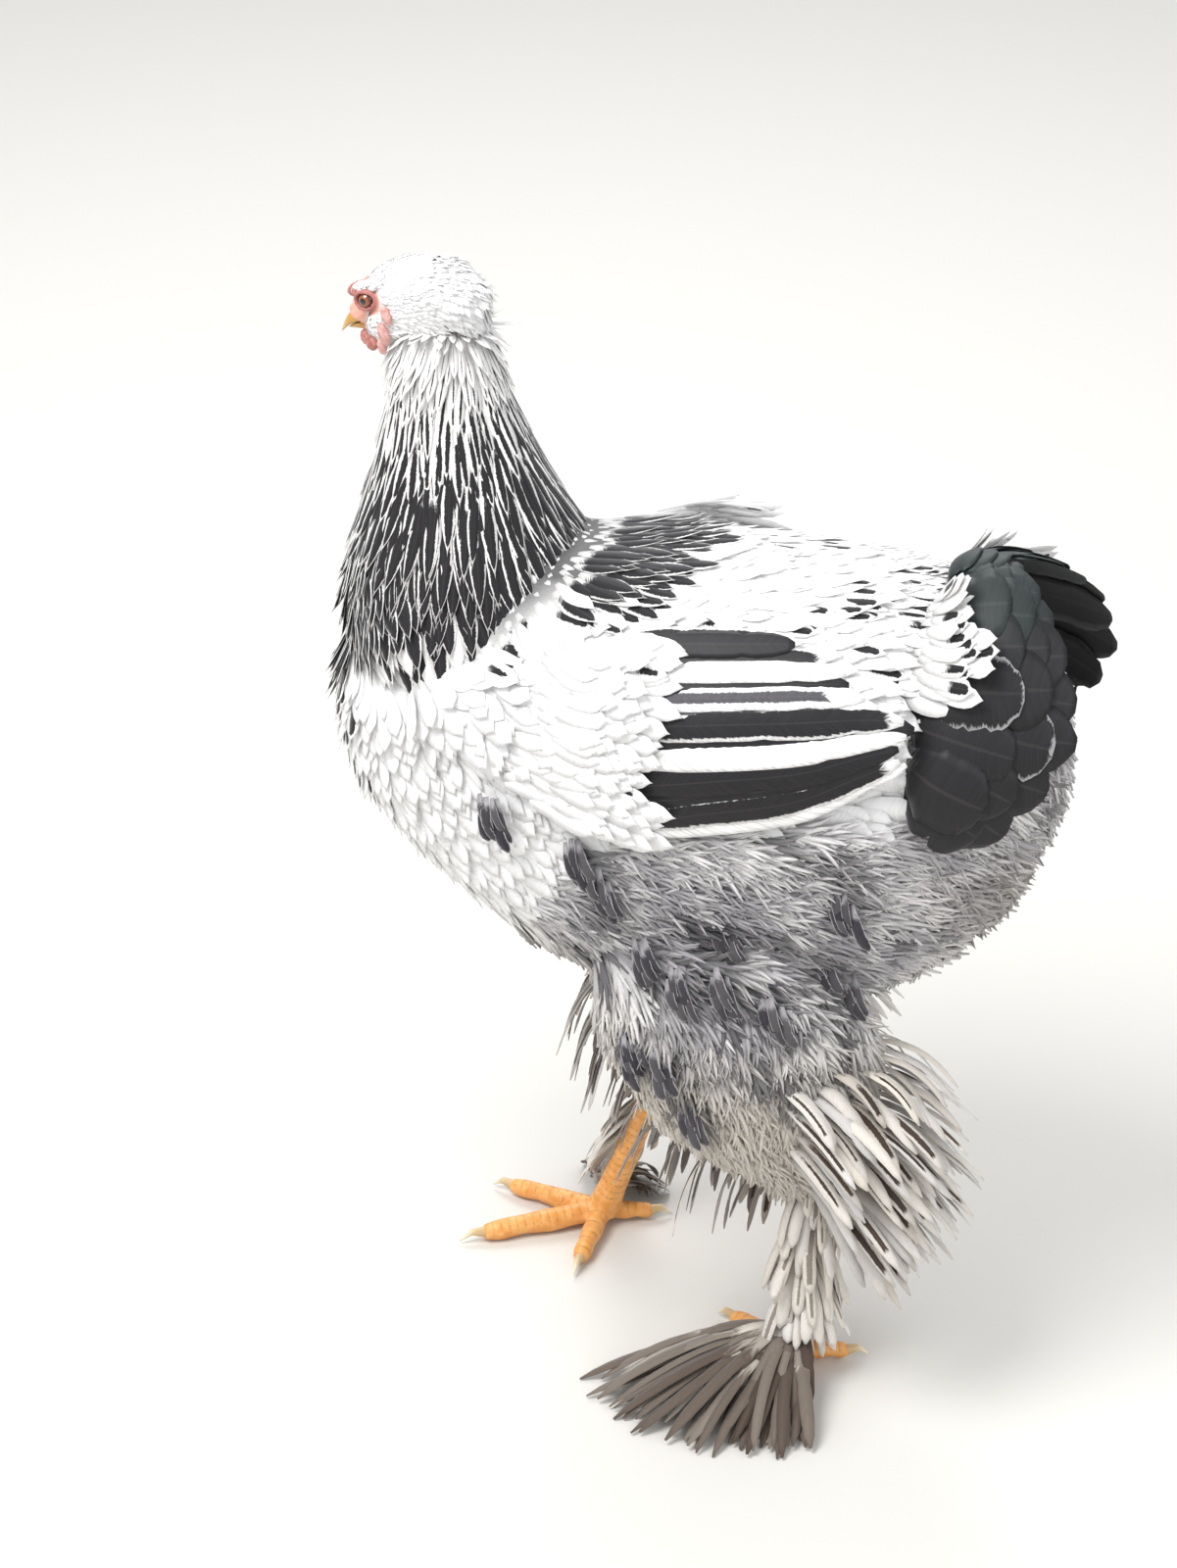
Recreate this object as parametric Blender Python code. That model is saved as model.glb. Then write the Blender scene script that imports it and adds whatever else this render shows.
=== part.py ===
"""A life-size brahma hen, standing in mid-stride, as a still model in separate solid pieces.

The bird faces -Y and its left side is +X. Sizes in the tables are millimetres; MM turns them into
metres. Angles are degrees. A toe's heading is measured from straight ahead, towards the bird's left.
"""

import math
import random
from collections import namedtuple

import bmesh
import bpy
from mathutils import Matrix, Vector

MM = 0.001
GAP = 0.3 * MM  # clearance that two touching pieces keep
VANE_THICK = 0.65 * MM
LAYER = 1.05 * MM  # rise from one wing feather to the one that lies on it
HACKLE_LAYER = 1.6 * MM  # the same in the neck
TAIL_LAYER = 1.8 * MM  # and in the tail
SQUARE = 0.92  # a section's power: 1 is an ellipse, less is squarer
ORIGIN_SHIFT = Vector((-14, -30, 0)) * MM  # puts the middle of the whole bird over the origin

# The trunk, from breast to rump: heights of back and belly, half width, height of the widest line.
TrunkRing = namedtuple("TrunkRing", "y back belly half widest")
TRUNK = (
    TrunkRing(-164, 362, 328, 17, 345),
    TrunkRing(-156, 388, 306, 38, 345),
    TrunkRing(-138, 407, 279, 60, 345),
    TrunkRing(-106, 424, 250, 79, 346),
    TrunkRing(-60, 435, 221, 93, 347),
    TrunkRing(0, 440, 204, 100, 348),
    TrunkRing(60, 442, 199, 99, 350),
    TrunkRing(110, 442, 211, 90, 352),
    TrunkRing(150, 436, 237, 71, 353),
    TrunkRing(180, 417, 272, 49, 350),
    TrunkRing(198, 391, 312, 26, 350),
    TrunkRing(204, 370, 338, 12, 352),
)

# The neck with its down, as level rings from inside the trunk up into the skull.
NeckRing = namedtuple("NeckRing", "z x y side fore aft")
NECK = (
    NeckRing(352, 0, -84, 68, 60, 80),
    NeckRing(398, 0, -92, 72, 65, 79),
    NeckRing(438, 0, -98, 57, 54, 57),
    NeckRing(474, -1, -102, 41, 42, 41),
    NeckRing(505, -2, -107, 31, 31, 33),
    NeckRing(526, -3, -111, 27, 25, 31),
    NeckRing(540, -3, -114, 19, 14, 28),
)
NECK_BASE = 356
NECK_TOP = 538

# Where the cape's lowest feathers end on the trunk, from the front round the side to the back.
CapeEnd = namedtuple("CapeEnd", "y angle")
CAPE = (
    CapeEnd(-167, 90),
    CapeEnd(-146, 50),
    CapeEnd(-112, 38),
    CapeEnd(-76, 42),
    CapeEnd(-40, 54),
    CapeEnd(-6, 68),
    CapeEnd(12, 90),
)

# The folded wing's outer face, as an oval round the trunk: its half width and half height there,
# the angles of its top and bottom edges, and its depth down to the trunk.
WingRing = namedtuple("WingRing", "y half tall top bottom depth")
WING = (
    WingRing(-104, 82, 88, 27, 17, 5),
    WingRing(-96, 89, 88, 33, 9, 12),
    WingRing(-70, 98, 92, 38, 0, 18),
    WingRing(-30, 103, 95, 44, -6, 18),
    WingRing(15, 105, 96, 49, -8, 16),
    WingRing(60, 104, 96, 51, -5, 14),
    WingRing(100, 97, 94, 52, -3, 11),
    WingRing(125, 89, 90, 50, 3, 6),
    WingRing(145, 82, 86, 45, 10, 3),
    WingRing(160, 77, 83, 34, 20, 3),
)
WING_CORE_END = 128  # the wing's fleshy part ends here, and its flight feathers go on
FLIGHT_HALF = 15.5  # half width of a flight feather

# The tail as a tent of feathers, from its ridge down the left side: where the feathers end. They
# root in the rump, which is the part of the trunk behind and above the tail cut.
TAIL_CUT_Y = 138
TAIL_CUT_Z = 338
TAIL_ROOT_Y = 144
TAIL_TIPS = (
    (1.6, 178, 455),
    (15, 196, 448),
    (31, 213, 430),
    (45, 224, 400),
    (60, 212, 364),
    (69, 184, 336),
)

# The head along its own forward axis: half width, heights above and below its own middle line.
HeadRing = namedtuple("HeadRing", "f half up down middle")
HEAD = (
    HeadRing(-37, 9, 6, 13, -4),
    HeadRing(-32, 15, 11, 20, -2.5),
    HeadRing(-21, 19.5, 16.5, 24, 0),
    HeadRing(-8, 21.5, 19, 27, 0),
    HeadRing(4, 20.5, 19.5, 27, 0),
    HeadRing(14, 17.5, 17.5, 24, -1),
    HeadRing(22, 13.5, 13.5, 19, -3),
    HeadRing(28, 10, 8.5, 13, -5),
    HeadRing(32, 7, 5, 8, -7),
)
HEAD_CENTRE = Vector((-4, -126.5, 549.5)) * MM
HEAD_YAW = 13.0  # the head looks a little to the bird's right
HEAD_PITCH = 19.0  # and down
EYE = Vector((12.5, 15.4, 4.5)) * MM  # in the head's own axes: forward, left, up
EYE_RADIUS = 5.2 * MM
MOUTH = -9.5  # height of the mouth line in the head's axes
BEAK_ROOT = 25.0  # how far ahead of the head's centre the beak begins
BEAK_TIP = 47.0  # and ends

# The feathered thigh as level rings: centre, and half widths across and along the bird.
ThighRing = namedtuple("ThighRing", "z x y across along")
LEFT_THIGH = (
    ThighRing(296, 46, 34, 34, 52),
    ThighRing(255, 52, 46, 44, 70),
    ThighRing(215, 56, 58, 47, 76),
    ThighRing(182, 55, 66, 43, 70),
    ThighRing(155, 52, 72, 36, 58),
    ThighRing(132, 48, 86, 27, 40),
    ThighRing(114, 46, 96, 16, 19),
    ThighRing(108, 46, 98, 8, 9),
)
RIGHT_THIGH = (
    ThighRing(296, -46, 16, 34, 52),
    ThighRing(255, -52, 14, 44, 66),
    ThighRing(215, -56, 10, 47, 68),
    ThighRing(182, -55, 6, 43, 62),
    ThighRing(155, -52, 2, 36, 52),
    ThighRing(132, -49, 0, 27, 38),
    ThighRing(114, -48, 0, 16, 19),
    ThighRing(108, -48, 0, 8, 9),
)

# Each toe: its heading for the left and the right foot, its length without the claw, its thickness.
Toe = namedtuple("Toe", "name left right length radius claw")
TOES = (
    Toe("inner", -27, 92, 44, 5.6, 12),
    Toe("middle", 17, 34, 66, 6.2, 14),
    Toe("outer", 60, -11, 56, 5.6, 12),
    Toe("hallux", 202, 205, 27, 5.0, 11),
)
# The fan of feathers on each foot: headings of its first and last feather, their lengths, how many.
Fan = namedtuple("Fan", "first last long short number")
Leg = namedtuple("Leg", "side sign hock foot thigh fan cover")
LEGS = (
    Leg("left", 1, (45, 99, 126), (42, 92, 0), LEFT_THIGH, Fan(27, 112, 112, 78, 8), (-40, 220)),
    Leg("right", -1, (-48, -1, 126), (-48, -42, 0), RIGHT_THIGH, Fan(-62, -128, 58, 46, 5), (150, 300)),
)
SHANK_RADIUS = 7.6
PAD_RADIUS = 11.0

MATERIALS = {
    "white_plumage": ((0.86, 0.85, 0.84), 0.75),
    "striped_hackle": ((0.42, 0.41, 0.42), 0.7),
    "black_plumage": ((0.02, 0.025, 0.025), 0.4),
    "grey_fluff": ((0.5, 0.48, 0.48), 0.85),
    "red_skin": ((0.66, 0.24, 0.2), 0.55),
    "horn": ((0.72, 0.47, 0.2), 0.4),
    "yellow_scales": ((0.85, 0.42, 0.1), 0.5),
    "eye": ((0.25, 0.07, 0.03), 0.08),
}
DRAW = random.Random(7)


def clear_scene():
    for old in list(bpy.data.objects):
        bpy.data.objects.remove(old)


def new_collection(name):
    made = bpy.data.collections.new(name)
    bpy.context.scene.collection.children.link(made)
    return made


def new_material(name):
    colour, roughness = MATERIALS[name]
    made = bpy.data.materials.new(name)
    made.use_nodes = True
    shader = made.node_tree.nodes["Principled BSDF"]
    shader.inputs["Base Color"].default_value = (*colour, 1)
    shader.inputs["Roughness"].default_value = roughness
    return made


def object_from(bm, name):
    mesh = bpy.data.meshes.new(name)
    bmesh.ops.recalc_face_normals(bm, faces=bm.faces)
    if bm.calc_volume(signed=True) < 0:
        bmesh.ops.reverse_faces(bm, faces=bm.faces)
    bm.to_mesh(mesh)
    bm.free()
    made = bpy.data.objects.new(name, mesh)
    bpy.context.scene.collection.objects.link(made)
    return made


def spline(rows, t):
    """The row at t from 0 to 1, on a smooth curve through the rows of numbers."""
    place = min(max(t, 0), 1) * (len(rows) - 1)
    i = min(int(place), len(rows) - 2)
    u = place - i
    before, a, b, after = (rows[min(max(k, 0), len(rows) - 1)] for k in (i - 1, i, i + 1, i + 2))
    return tuple(
        q + 0.5 * u * (r - p + u * (2 * p - 5 * q + 4 * r - s + u * (3 * (q - r) + s - p)))
        for p, q, r, s in zip(before, a, b, after)
    )


def spline_at(rows, first):
    """The row whose first number is this one; the first numbers rise from row to row."""
    low, high = 0.0, 1.0
    for _ in range(22):
        t = (low + high) / 2
        low, high = (t, high) if spline(rows, t)[0] < first else (low, t)
    return spline(rows, t)


def bent(c, power=SQUARE):
    return math.copysign(abs(c) ** power, c)


def loft(name, rings):
    """A closed form through rings of points, each end closed on its ring's middle."""
    bm = bmesh.new()
    loops = [[bm.verts.new(p) for p in ring] for ring in rings]
    count = len(loops[0])
    for low, high in zip(loops, loops[1:]):
        for k in range(count):
            n = (k + 1) % count
            bm.faces.new((low[k], low[n], high[n], high[k]))
    for loop in (loops[0], loops[-1]):
        middle = bm.verts.new(sum((v.co for v in loop), Vector()) / count)
        for k in range(count):
            bm.faces.new((loop[k], loop[(k + 1) % count], middle))
    return object_from(bm, name)


def oval(count, side, up, down, power=1.0):
    """Offsets round an oval with a half width and its heights above and below."""
    for k in range(count):
        c, s = math.cos(math.tau * k / count), math.sin(math.tau * k / count)
        yield bent(c, power) * side, bent(s, power) * (up if s > 0 else down)


def trunk_form(name, grow=0.0, steps=16, count=20):
    rings = []
    for k in range(steps + 1):
        t = k / steps
        y, back, belly, half, widest = (v * MM for v in spline(TRUNK, t))
        y += grow * (2 * t - 1)
        ring = oval(count, half + grow, back - widest + grow, widest - belly + grow, SQUARE)
        rings.append([Vector((a, y, widest + b)) for a, b in ring])
    return loft(name, rings)


def trunk_section(y):
    """The trunk's half width, its widest line's height, and its heights above and below that."""
    _, back, belly, half, widest = (v * MM for v in spline_at(TRUNK, y / MM))
    return half, widest, back - widest, widest - belly


def trunk_side(y, angle, out=0.0):
    """A point on the trunk's left side, at this angle above its widest line, and that far out."""
    half, widest, up, down = trunk_section(y)
    c, s = math.cos(math.radians(angle)), math.sin(math.radians(angle))
    return Vector(((half + out) * bent(c), y, widest + ((up if s > 0 else down) + out) * bent(s)))


def over_trunk(p, height):
    """The point p, moved out across the trunk where it lies lower than this height over it."""
    if not TRUNK[0].y * MM < p.y < TRUNK[-1].y * MM:
        return p
    half, widest, up, down = trunk_section(p.y)
    tall = up if p.z > widest else down
    wide_part = abs(p.x / (half + height)) ** (2 / SQUARE)
    tall_part = abs((p.z - widest) / (tall + height)) ** (2 / SQUARE)
    share = max(wide_part + tall_part, 1e-9) ** (SQUARE / 2)
    return p if share >= 1 else Vector((p.x / share, p.y, widest + (p.z - widest) / share))


def neck_section(z):
    return tuple(v * MM for v in spline_at(NECK, z / MM))


def neck_point(z, angle, out=0.0):
    """A point on the neck at height z, at this angle from the bird's left round to its back."""
    _, x, y, side, fore, aft = neck_section(z)
    c, s = math.cos(math.radians(angle)), math.sin(math.radians(angle))
    return Vector((x + (side + out) * c, y + ((aft if s > 0 else fore) + out) * s, z))


def over_neck(p, height):
    """The point p, moved out from the neck where it lies lower than this height over it."""
    if not NECK[0].z * MM < p.z < NECK[-1].z * MM:
        return p
    _, x, y, side, fore, aft = neck_section(p.z)
    deep = aft if p.y > y else fore
    share = math.hypot((p.x - x) / (side + height), (p.y - y) / (deep + height))
    return p if share >= 1 else Vector((x + (p.x - x) / share, y + (p.y - y) / share, p.z))


def neck_form(name, grow=0.0, steps=8, count=16):
    rings = []
    for k in range(steps + 1):
        z = (NECK_BASE + (NECK_TOP - NECK_BASE) * k / steps) * MM
        rings.append([neck_point(z, 360 * j / count, grow) for j in range(count)])
    return loft(name, rings)


def head_matrix():
    turn = Matrix.Rotation(math.radians(-HEAD_YAW), 4, "Z")
    nod = Matrix.Rotation(math.radians(HEAD_PITCH), 4, "X")
    axes = Matrix(((0, 1, 0, 0), (-1, 0, 0, 0), (0, 0, 1, 0), (0, 0, 0, 1)))
    return Matrix.Translation(HEAD_CENTRE) @ turn @ nod @ axes


def in_head(f, left, up):
    """A point given in the head's own axes, in millimetres: forward, to its left, up."""
    return head_matrix() @ (Vector((f, left, up)) * MM)


def head_form(name, grow=0.0, steps=10, count=16):
    more = grow / MM
    rings = []
    for k in range(steps + 1):
        t = k / steps
        f, half, up, down, middle = spline(HEAD, t)
        f += more * (2 * t - 1)
        ring = oval(count, half + more, up + more, down + more, 0.95)
        rings.append([in_head(f, a, middle + b) for a, b in ring])
    return loft(name, rings)


def ball(name, centre, radii, matrix=None, segments=8, rings=6):
    """An ellipsoid with these half widths, in the axes of the matrix."""
    bm = bmesh.new()
    bmesh.ops.create_uvsphere(bm, u_segments=segments, v_segments=rings, radius=1)
    place = (matrix or Matrix.Identity(4)) @ Matrix.Translation(centre) @ Matrix.Diagonal((*radii, 1))
    bmesh.ops.transform(bm, matrix=place, verts=bm.verts)
    return object_from(bm, name)


def head_ball(name, centre, radii, segments=8, rings=6):
    return ball(name, Vector(centre) * MM, Vector(radii) * MM, head_matrix(), segments, rings)


def tube(name, points, radii, count=8, floor=None):
    """A round limb through these points; with a floor, its underside is flattened at that height."""
    rings = []
    for k, (point, radius) in enumerate(zip(points, radii)):
        ahead = points[min(k + 1, len(points) - 1)] - points[max(k - 1, 0)]
        across = ahead.cross(Vector((0, 0, 1)))
        if across.length < 0.3 * ahead.length:
            across = ahead.cross(Vector((0, 1, 0)))
        across.normalize()
        lift = across.cross(ahead).normalized()
        ring = [point + across * a + lift * b for a, b in oval(count, radius, radius, radius)]
        if floor is not None:
            ring = [Vector((p.x, p.y, max(p.z, floor))) for p in ring]
        rings.append(ring)
    return loft(name, rings)


def strip(name, rows):
    """A thin closed strip along a grid of points, both faces split into triangles alike."""
    bm = bmesh.new()
    top, under, last = [], [], len(rows[0]) - 1
    for k, row in enumerate(rows):
        rises = []
        for j in range(last + 1):
            along = rows[min(k + 1, len(rows) - 1)][j] - rows[max(k - 1, 0)][j]
            across = row[min(j + 1, last)] - row[max(j - 1, 0)]
            rises.append(along.cross(across).normalized() * VANE_THICK / 2)
        top.append([bm.verts.new(p + rise) for p, rise in zip(row, rises)])
        under.append([bm.verts.new(p - rise) for p, rise in zip(row, rises)])
    for k in range(len(top) - 1):
        for j in range(last):
            for side in (top, under):
                a, b, c, d = side[k][j], side[k][j + 1], side[k + 1][j + 1], side[k + 1][j]
                bm.faces.new((a, b, c))
                bm.faces.new((a, c, d))
        for j in (0, last):
            bm.faces.new((top[k][j], top[k + 1][j], under[k + 1][j]))
            bm.faces.new((top[k][j], under[k + 1][j], under[k][j]))
    for end in (0, len(top) - 1):
        for j in range(last):
            bm.faces.new((top[end][j], top[end][j + 1], under[end][j + 1], under[end][j]))
    return object_from(bm, name)


def laid_vane(name, place, line, columns=3, slope=0.0):
    """A feather that follows a surface. place(u, v, height) is a point over that surface, and line
    holds u, v, half width and height from root to tip. slope raises it towards greater v."""
    spread = [2 * j / (columns - 1) - 1 for j in range(columns)]
    rows = []
    for u, v, half, height in line:
        per_mm = 0.04 / max((place(u, v + 0.02, height) - place(u, v - 0.02, height)).length, 1e-6)
        rows.append([place(u, v + s * half * per_mm, height + slope * s * half) for s in spread])
    return strip(name, rows)


def free_vane(name, root, middle, tip, up, half, camber=0.12, columns=3, steps=4):
    """A feather on a smooth arc from root through middle to tip, facing up, arched across."""
    bend = 2 * middle - (root + tip) / 2
    shares = [k / steps for k in range(steps + 1)]
    points = [root * (1 - t) ** 2 + bend * 2 * t * (1 - t) + tip * t * t for t in shares]
    spread = [2 * j / (columns - 1) - 1 for j in range(columns)]
    rows = []
    for k, point in enumerate(points):
        ahead = points[min(k + 1, steps)] - points[max(k - 1, 0)]
        across = ahead.cross(up).normalized()
        face = across.cross(ahead).normalized()
        wide = half * taper(shares[k])
        rows.append([point + across * (wide * s) - face * (camber * wide * s * s) for s in spread])
    return strip(name, rows)


def taper(t, root=0.45, tip=0.3):
    """A feather's half width along its length, as a share of its widest."""
    fullest = 0.6
    swell = (1 - root) * math.sin(min(t / fullest, 1) * math.pi / 2)
    return root + swell - (1 - tip) * max(0, (t - fullest) / (1 - fullest)) ** 2


def settle(obj, modifier):
    """Applies the one modifier, by taking the evaluated mesh."""
    graph = bpy.context.evaluated_depsgraph_get()
    shaped = bpy.data.meshes.new_from_object(obj.evaluated_get(graph))
    obj.modifiers.remove(modifier)
    obj.data = shaped


def keep_largest(obj):
    """Leaves only the closed surface that encloses the most."""
    bm = bmesh.new()
    bm.from_mesh(obj.data)
    bmesh.ops.triangulate(bm, faces=bm.faces)
    todo, bodies = set(bm.faces), []
    while todo:
        body, front = set(), [todo.pop()]
        while front:
            face = front.pop()
            body.add(face)
            near = {f for edge in face.edges for f in edge.link_faces} & todo
            todo -= near
            front += near
        corners = [[v.co for v in face.verts] for face in body]
        bodies.append((sum(a.dot(b.cross(c)) for a, b, c in corners), body))
    best = max(bodies, key=lambda found: found[0])[1]
    bmesh.ops.delete(bm, geom=[f for f in bm.faces if f not in best], context="FACES")
    bmesh.ops.dissolve_limit(bm, angle_limit=math.radians(0.2), verts=bm.verts, edges=bm.edges)
    bmesh.ops.triangulate(bm, faces=bm.faces)
    bm.to_mesh(obj.data)
    bm.free()


def boolean(obj, others, operation):
    """Joins others to obj, or cuts them from it, in one Boolean on a collection, and removes them."""
    tools = bpy.data.collections.new("tools")
    for other in others:
        tools.objects.link(other)
    modifier = obj.modifiers.new(operation.lower(), "BOOLEAN")
    modifier.operation = operation
    modifier.operand_type = "COLLECTION"
    modifier.collection = tools
    modifier.solver = "EXACT"
    settle(obj, modifier)
    for other in others:
        bpy.data.objects.remove(other)
    bpy.data.collections.remove(tools)
    keep_largest(obj)
    return obj


def fuse(obj, pieces):
    return boolean(obj, pieces, "UNION")


def carve(obj, cutters):
    for cutter in cutters:
        boolean(obj, [cutter], "DIFFERENCE")
    return obj


def mirrored(obj, name):
    """The same piece on the bird's other side."""
    bm = bmesh.new()
    bm.from_mesh(obj.data)
    for vertex in bm.verts:
        vertex.co.x = -vertex.co.x
    return object_from(bm, name)


def finish(obj, material, collection, angle=40):
    for group in list(obj.users_collection):
        group.objects.unlink(obj)
    collection.objects.link(obj)
    for vertex in obj.data.vertices:
        vertex.co += ORIGIN_SHIFT
    obj.data.materials.clear()
    obj.data.materials.append(material)
    obj.data.shade_smooth()
    obj.data.set_sharp_from_angle(angle=math.radians(angle))
    return obj


def cape_place(share, angle, height):
    """A point over neck and trunk, on the way from the neck's foot to the cape's lower edge."""
    turned = math.degrees(math.asin(math.sin(math.radians(angle))))
    y, side_angle = spline(CAPE, (turned + 90) / 180)
    root = neck_point(430 * MM, angle, height)
    tip = trunk_side(y * MM, side_angle, height)
    tip.x = math.copysign(tip.x, math.cos(math.radians(angle)))
    return over_trunk(over_neck(root.lerp(tip, share), height), height)


def hackle_place(drop, angle, height):
    """A point over the neck, drop millimetres below the top of the hackle."""
    return over_trunk(neck_point((530 - drop) * MM, angle, height), height)


def hackle_feathers():
    """Pointed feathers in tiers round the neck; the lowest tier is the cape on back and shoulders."""
    tiers = (
        # drop of the root, length, number, half width
        (16, 40, 8, 9.5),
        (34, 50, 8, 12.5),
        (58, 54, 10, 14.5),
    )
    made = []
    for tier, (drop, length, number, half) in enumerate(tiers):
        for k in range(number):
            angle = 360 * (k + 0.5 * (tier % 2)) / number + DRAW.uniform(-2, 2)
            long = length * DRAW.uniform(0.94, 1.06)
            layer = (k % 2) * HACKLE_LAYER
            line = [
                (drop + long * t, angle, half * wide * MM, rise * MM + layer * (t > 0))
                for t, wide, rise in ((0, 0.5, -3.0), (0.4, 1.0, 2.6), (1.0, 0.3, 3.4))
            ]
            made.append(laid_vane(f"hackle_{tier}_{k}", hackle_place, line, columns=2))
    number = 12
    for k in range(number):
        layer = (k % 2) * HACKLE_LAYER
        end = DRAW.uniform(0.94, 1.02)
        angle = 360 * k / number + DRAW.uniform(-2, 2)
        line = [
            (end * t, angle, 18 * MM * wide, rise * MM + layer * (t > 0))
            for t, wide, rise in ((0, 0.5, -3), (0.2, 0.85, 2.0), (0.6, 1.0, 2.6), (1.0, 0.4, 2.8))
        ]
        made.append(laid_vane(f"cape_{k}", cape_place, line, columns=2))
    return made


def wing_place(y, lower, height):
    """A point over the left wing's outer face; lower runs from 0 at its top edge to 1 at its bottom."""
    _, half, tall, top, bottom, _ = spline_at(WING, y / MM)
    _, widest, _, _ = trunk_section(y)
    turn = math.radians(top + (bottom - top) * lower)
    out = (half * MM + height) * bent(math.cos(turn))
    up = (tall * MM + height) * bent(math.sin(turn))
    return Vector((out, y, widest + up))


def wing_form(name, steps=8, count=6):
    rings = []
    first, last = WING[0].y, WING_CORE_END
    for k in range(steps + 1):
        y = (first + (last - first) * k / steps) * MM
        depth = spline_at(WING, y / MM)[5]
        end = min(1, 4 * min(k, steps - k) / steps + 0.35)
        outer, inner = [], []
        for j in range(count):
            lower = j / (count - 1)
            edge = depth * (0.55 * abs(2 * lower - 1) ** 4 + 0.3 * (1 - end))
            outer.append(wing_place(y, lower, -edge * MM))
            inner.append(wing_place(y, lower, -depth * MM))
        rings.append(outer + inner[::-1])
    return loft(name, rings)


def wing_feathers():
    """Flight feathers, each lying on the one below it, and two tiers of coverts over their roots."""
    number = 6
    made = []
    for k in range(number):
        s = k / (number - 1)
        stack = 1.0 + (number - 1 - k) * LAYER / MM
        start, end = 0.06 + 0.86 * s, 0.08 + 0.86 * s
        root, tip = 2 + 10 * s, 153 - 8 * (1 - s) ** 2 - 36 * s**4
        line = []
        for i in range(5):
            t = i / 4
            rise = stack * min(1, 2.2 * t) - 5 * (1 - min(1, 4 * t))
            y, lower = root + (tip - root) * t, start + (end - start) * t
            line.append((y * MM, lower, FLIGHT_HALF * taper(t) * MM, rise * MM))
        made.append(laid_vane(f"flight_{k}", wing_place, line, slope=0.04))
    tiers = (("covert", 5, -30, 58, 16.0, 1.2), ("small_covert", 4, -66, 8, 18.0, 2.4))
    for name, number, root, tip, half, lift in tiers:
        for k in range(number):
            s = k / (number - 1)
            under = 5.6 * (1 - s) * (1.0 if tip > 20 else 0.35)
            layer = (k % 2) * LAYER / MM
            long = (tip - root) * DRAW.uniform(0.94, 1.04) * (1 - 0.16 * s)
            line = []
            for i in range(4):
                t = i / 3
                rise = (under + lift + layer) * min(1, 1.2 * t) - 5 * (1 - min(1, 3 * t))
                line.append(((root + long * t) * MM, 0.09 + 0.82 * s, half * taper(t) * MM, rise * MM))
            made.append(laid_vane(f"{name}_{k}", wing_place, line, columns=2))
    return made


def tail_surface(out, down):
    """The tent of the tail: out runs from root to tip, down from its ridge to its lower edge."""
    root = trunk_side(TAIL_ROOT_Y * MM, 90 - 86 * down, -4 * MM)
    return root.lerp(Vector(spline(TAIL_TIPS, down)) * MM, out)


def tail_place(out, down, height):
    """A point over the tent of the tail; a negative down is on the right side of its ridge."""
    side, down = math.copysign(1, down), abs(down)
    here, along = tail_surface(out, down), tail_surface(out + 0.02, down)
    below = tail_surface(out, down + 0.02)
    normal = (below - here).cross(along - here).normalized()
    point = here + normal * (height + 6 * MM * math.sin(math.pi * min(max(out, 0), 1)))
    return Vector((max(point.x, 0) * side, point.y, point.z))


def rump_box(name, inset=0.0):
    """The block of space that holds the rump, inset from the cut on the torso's side."""
    return box(name, (-150, TAIL_CUT_Y + inset, TAIL_CUT_Z + inset), (150, 260, 520))


def box(name, low, high):
    bm = bmesh.new()
    bmesh.ops.create_cube(bm, size=1)
    low, high = Vector(low) * MM, Vector(high) * MM
    bmesh.ops.scale(bm, vec=high - low, verts=bm.verts)
    bmesh.ops.translate(bm, vec=(high + low) / 2, verts=bm.verts)
    return object_from(bm, name)


def torso_form(name):
    """The trunk without its rump."""
    return carve(trunk_form(name), [rump_box("cutter")])


def rump_form(name):
    """The rump, which carries the tail."""
    return boolean(trunk_form(name), [rump_box("keep", GAP / MM)], "INTERSECT")


def tail_feathers():
    """The left half of the tail: main feathers, then two tiers of coverts that lie on them."""
    tiers = (
        # number, steps, columns, tip, half width, height
        ("main", 6, 3, 3, 1.0, 19.0, 0.5),
        ("covert", 5, 2, 3, 0.66, 17.5, 4.4),
        ("small_covert", 4, 1, 2, 0.36, 18.0, 8.0),
    )
    made = []
    for name, number, steps, columns, end, half, lift in tiers:
        for k in range(number):
            down = 0.13 + 0.81 * k / (number - 1)
            layer = (k % 2) * TAIL_LAYER / MM
            tip = end * DRAW.uniform(0.97, 1.02)
            line = []
            for i in range(steps + 1):
                t = i / steps
                wide = min(half * taper(t, 0.5, 0.35), 85 * down)
                rise = (lift + layer) * min(1, 2.5 * t) - 3 * (1 - min(1, 3 * t))
                line.append((tip * t, down, wide * MM, rise * MM))
            made.append(laid_vane(f"{name}_{k}", tail_place, line, columns))
    return made


def tail_ridge():
    """The two feathers on the tail's ridge, which close it between its halves."""
    made = []
    for end, lift in ((0.98, 3.4), (0.62, 8.6)):
        line = []
        for t, wide in ((0, 6), (0.35, 11), (0.7, 12), (1.0, 5)):
            line.append((end * t, 0.0, wide * MM, (lift * min(1, 2.5 * t) - 3 * (1 - min(1, 3 * t))) * MM))
        made.append(laid_vane(f"ridge_{lift}", tail_place, line))
    return made


def thigh_point(rows, z, angle, out=0.0):
    """A point on a thigh at height z, at this angle from the bird's left round to its back."""
    _, x, y, across, along = (v * MM for v in spline_at(rows[::-1], z / MM))
    c, s = math.cos(math.radians(angle)), math.sin(math.radians(angle))
    return Vector((x + (across + out) * c, y + (along + out) * s, z))


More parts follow.
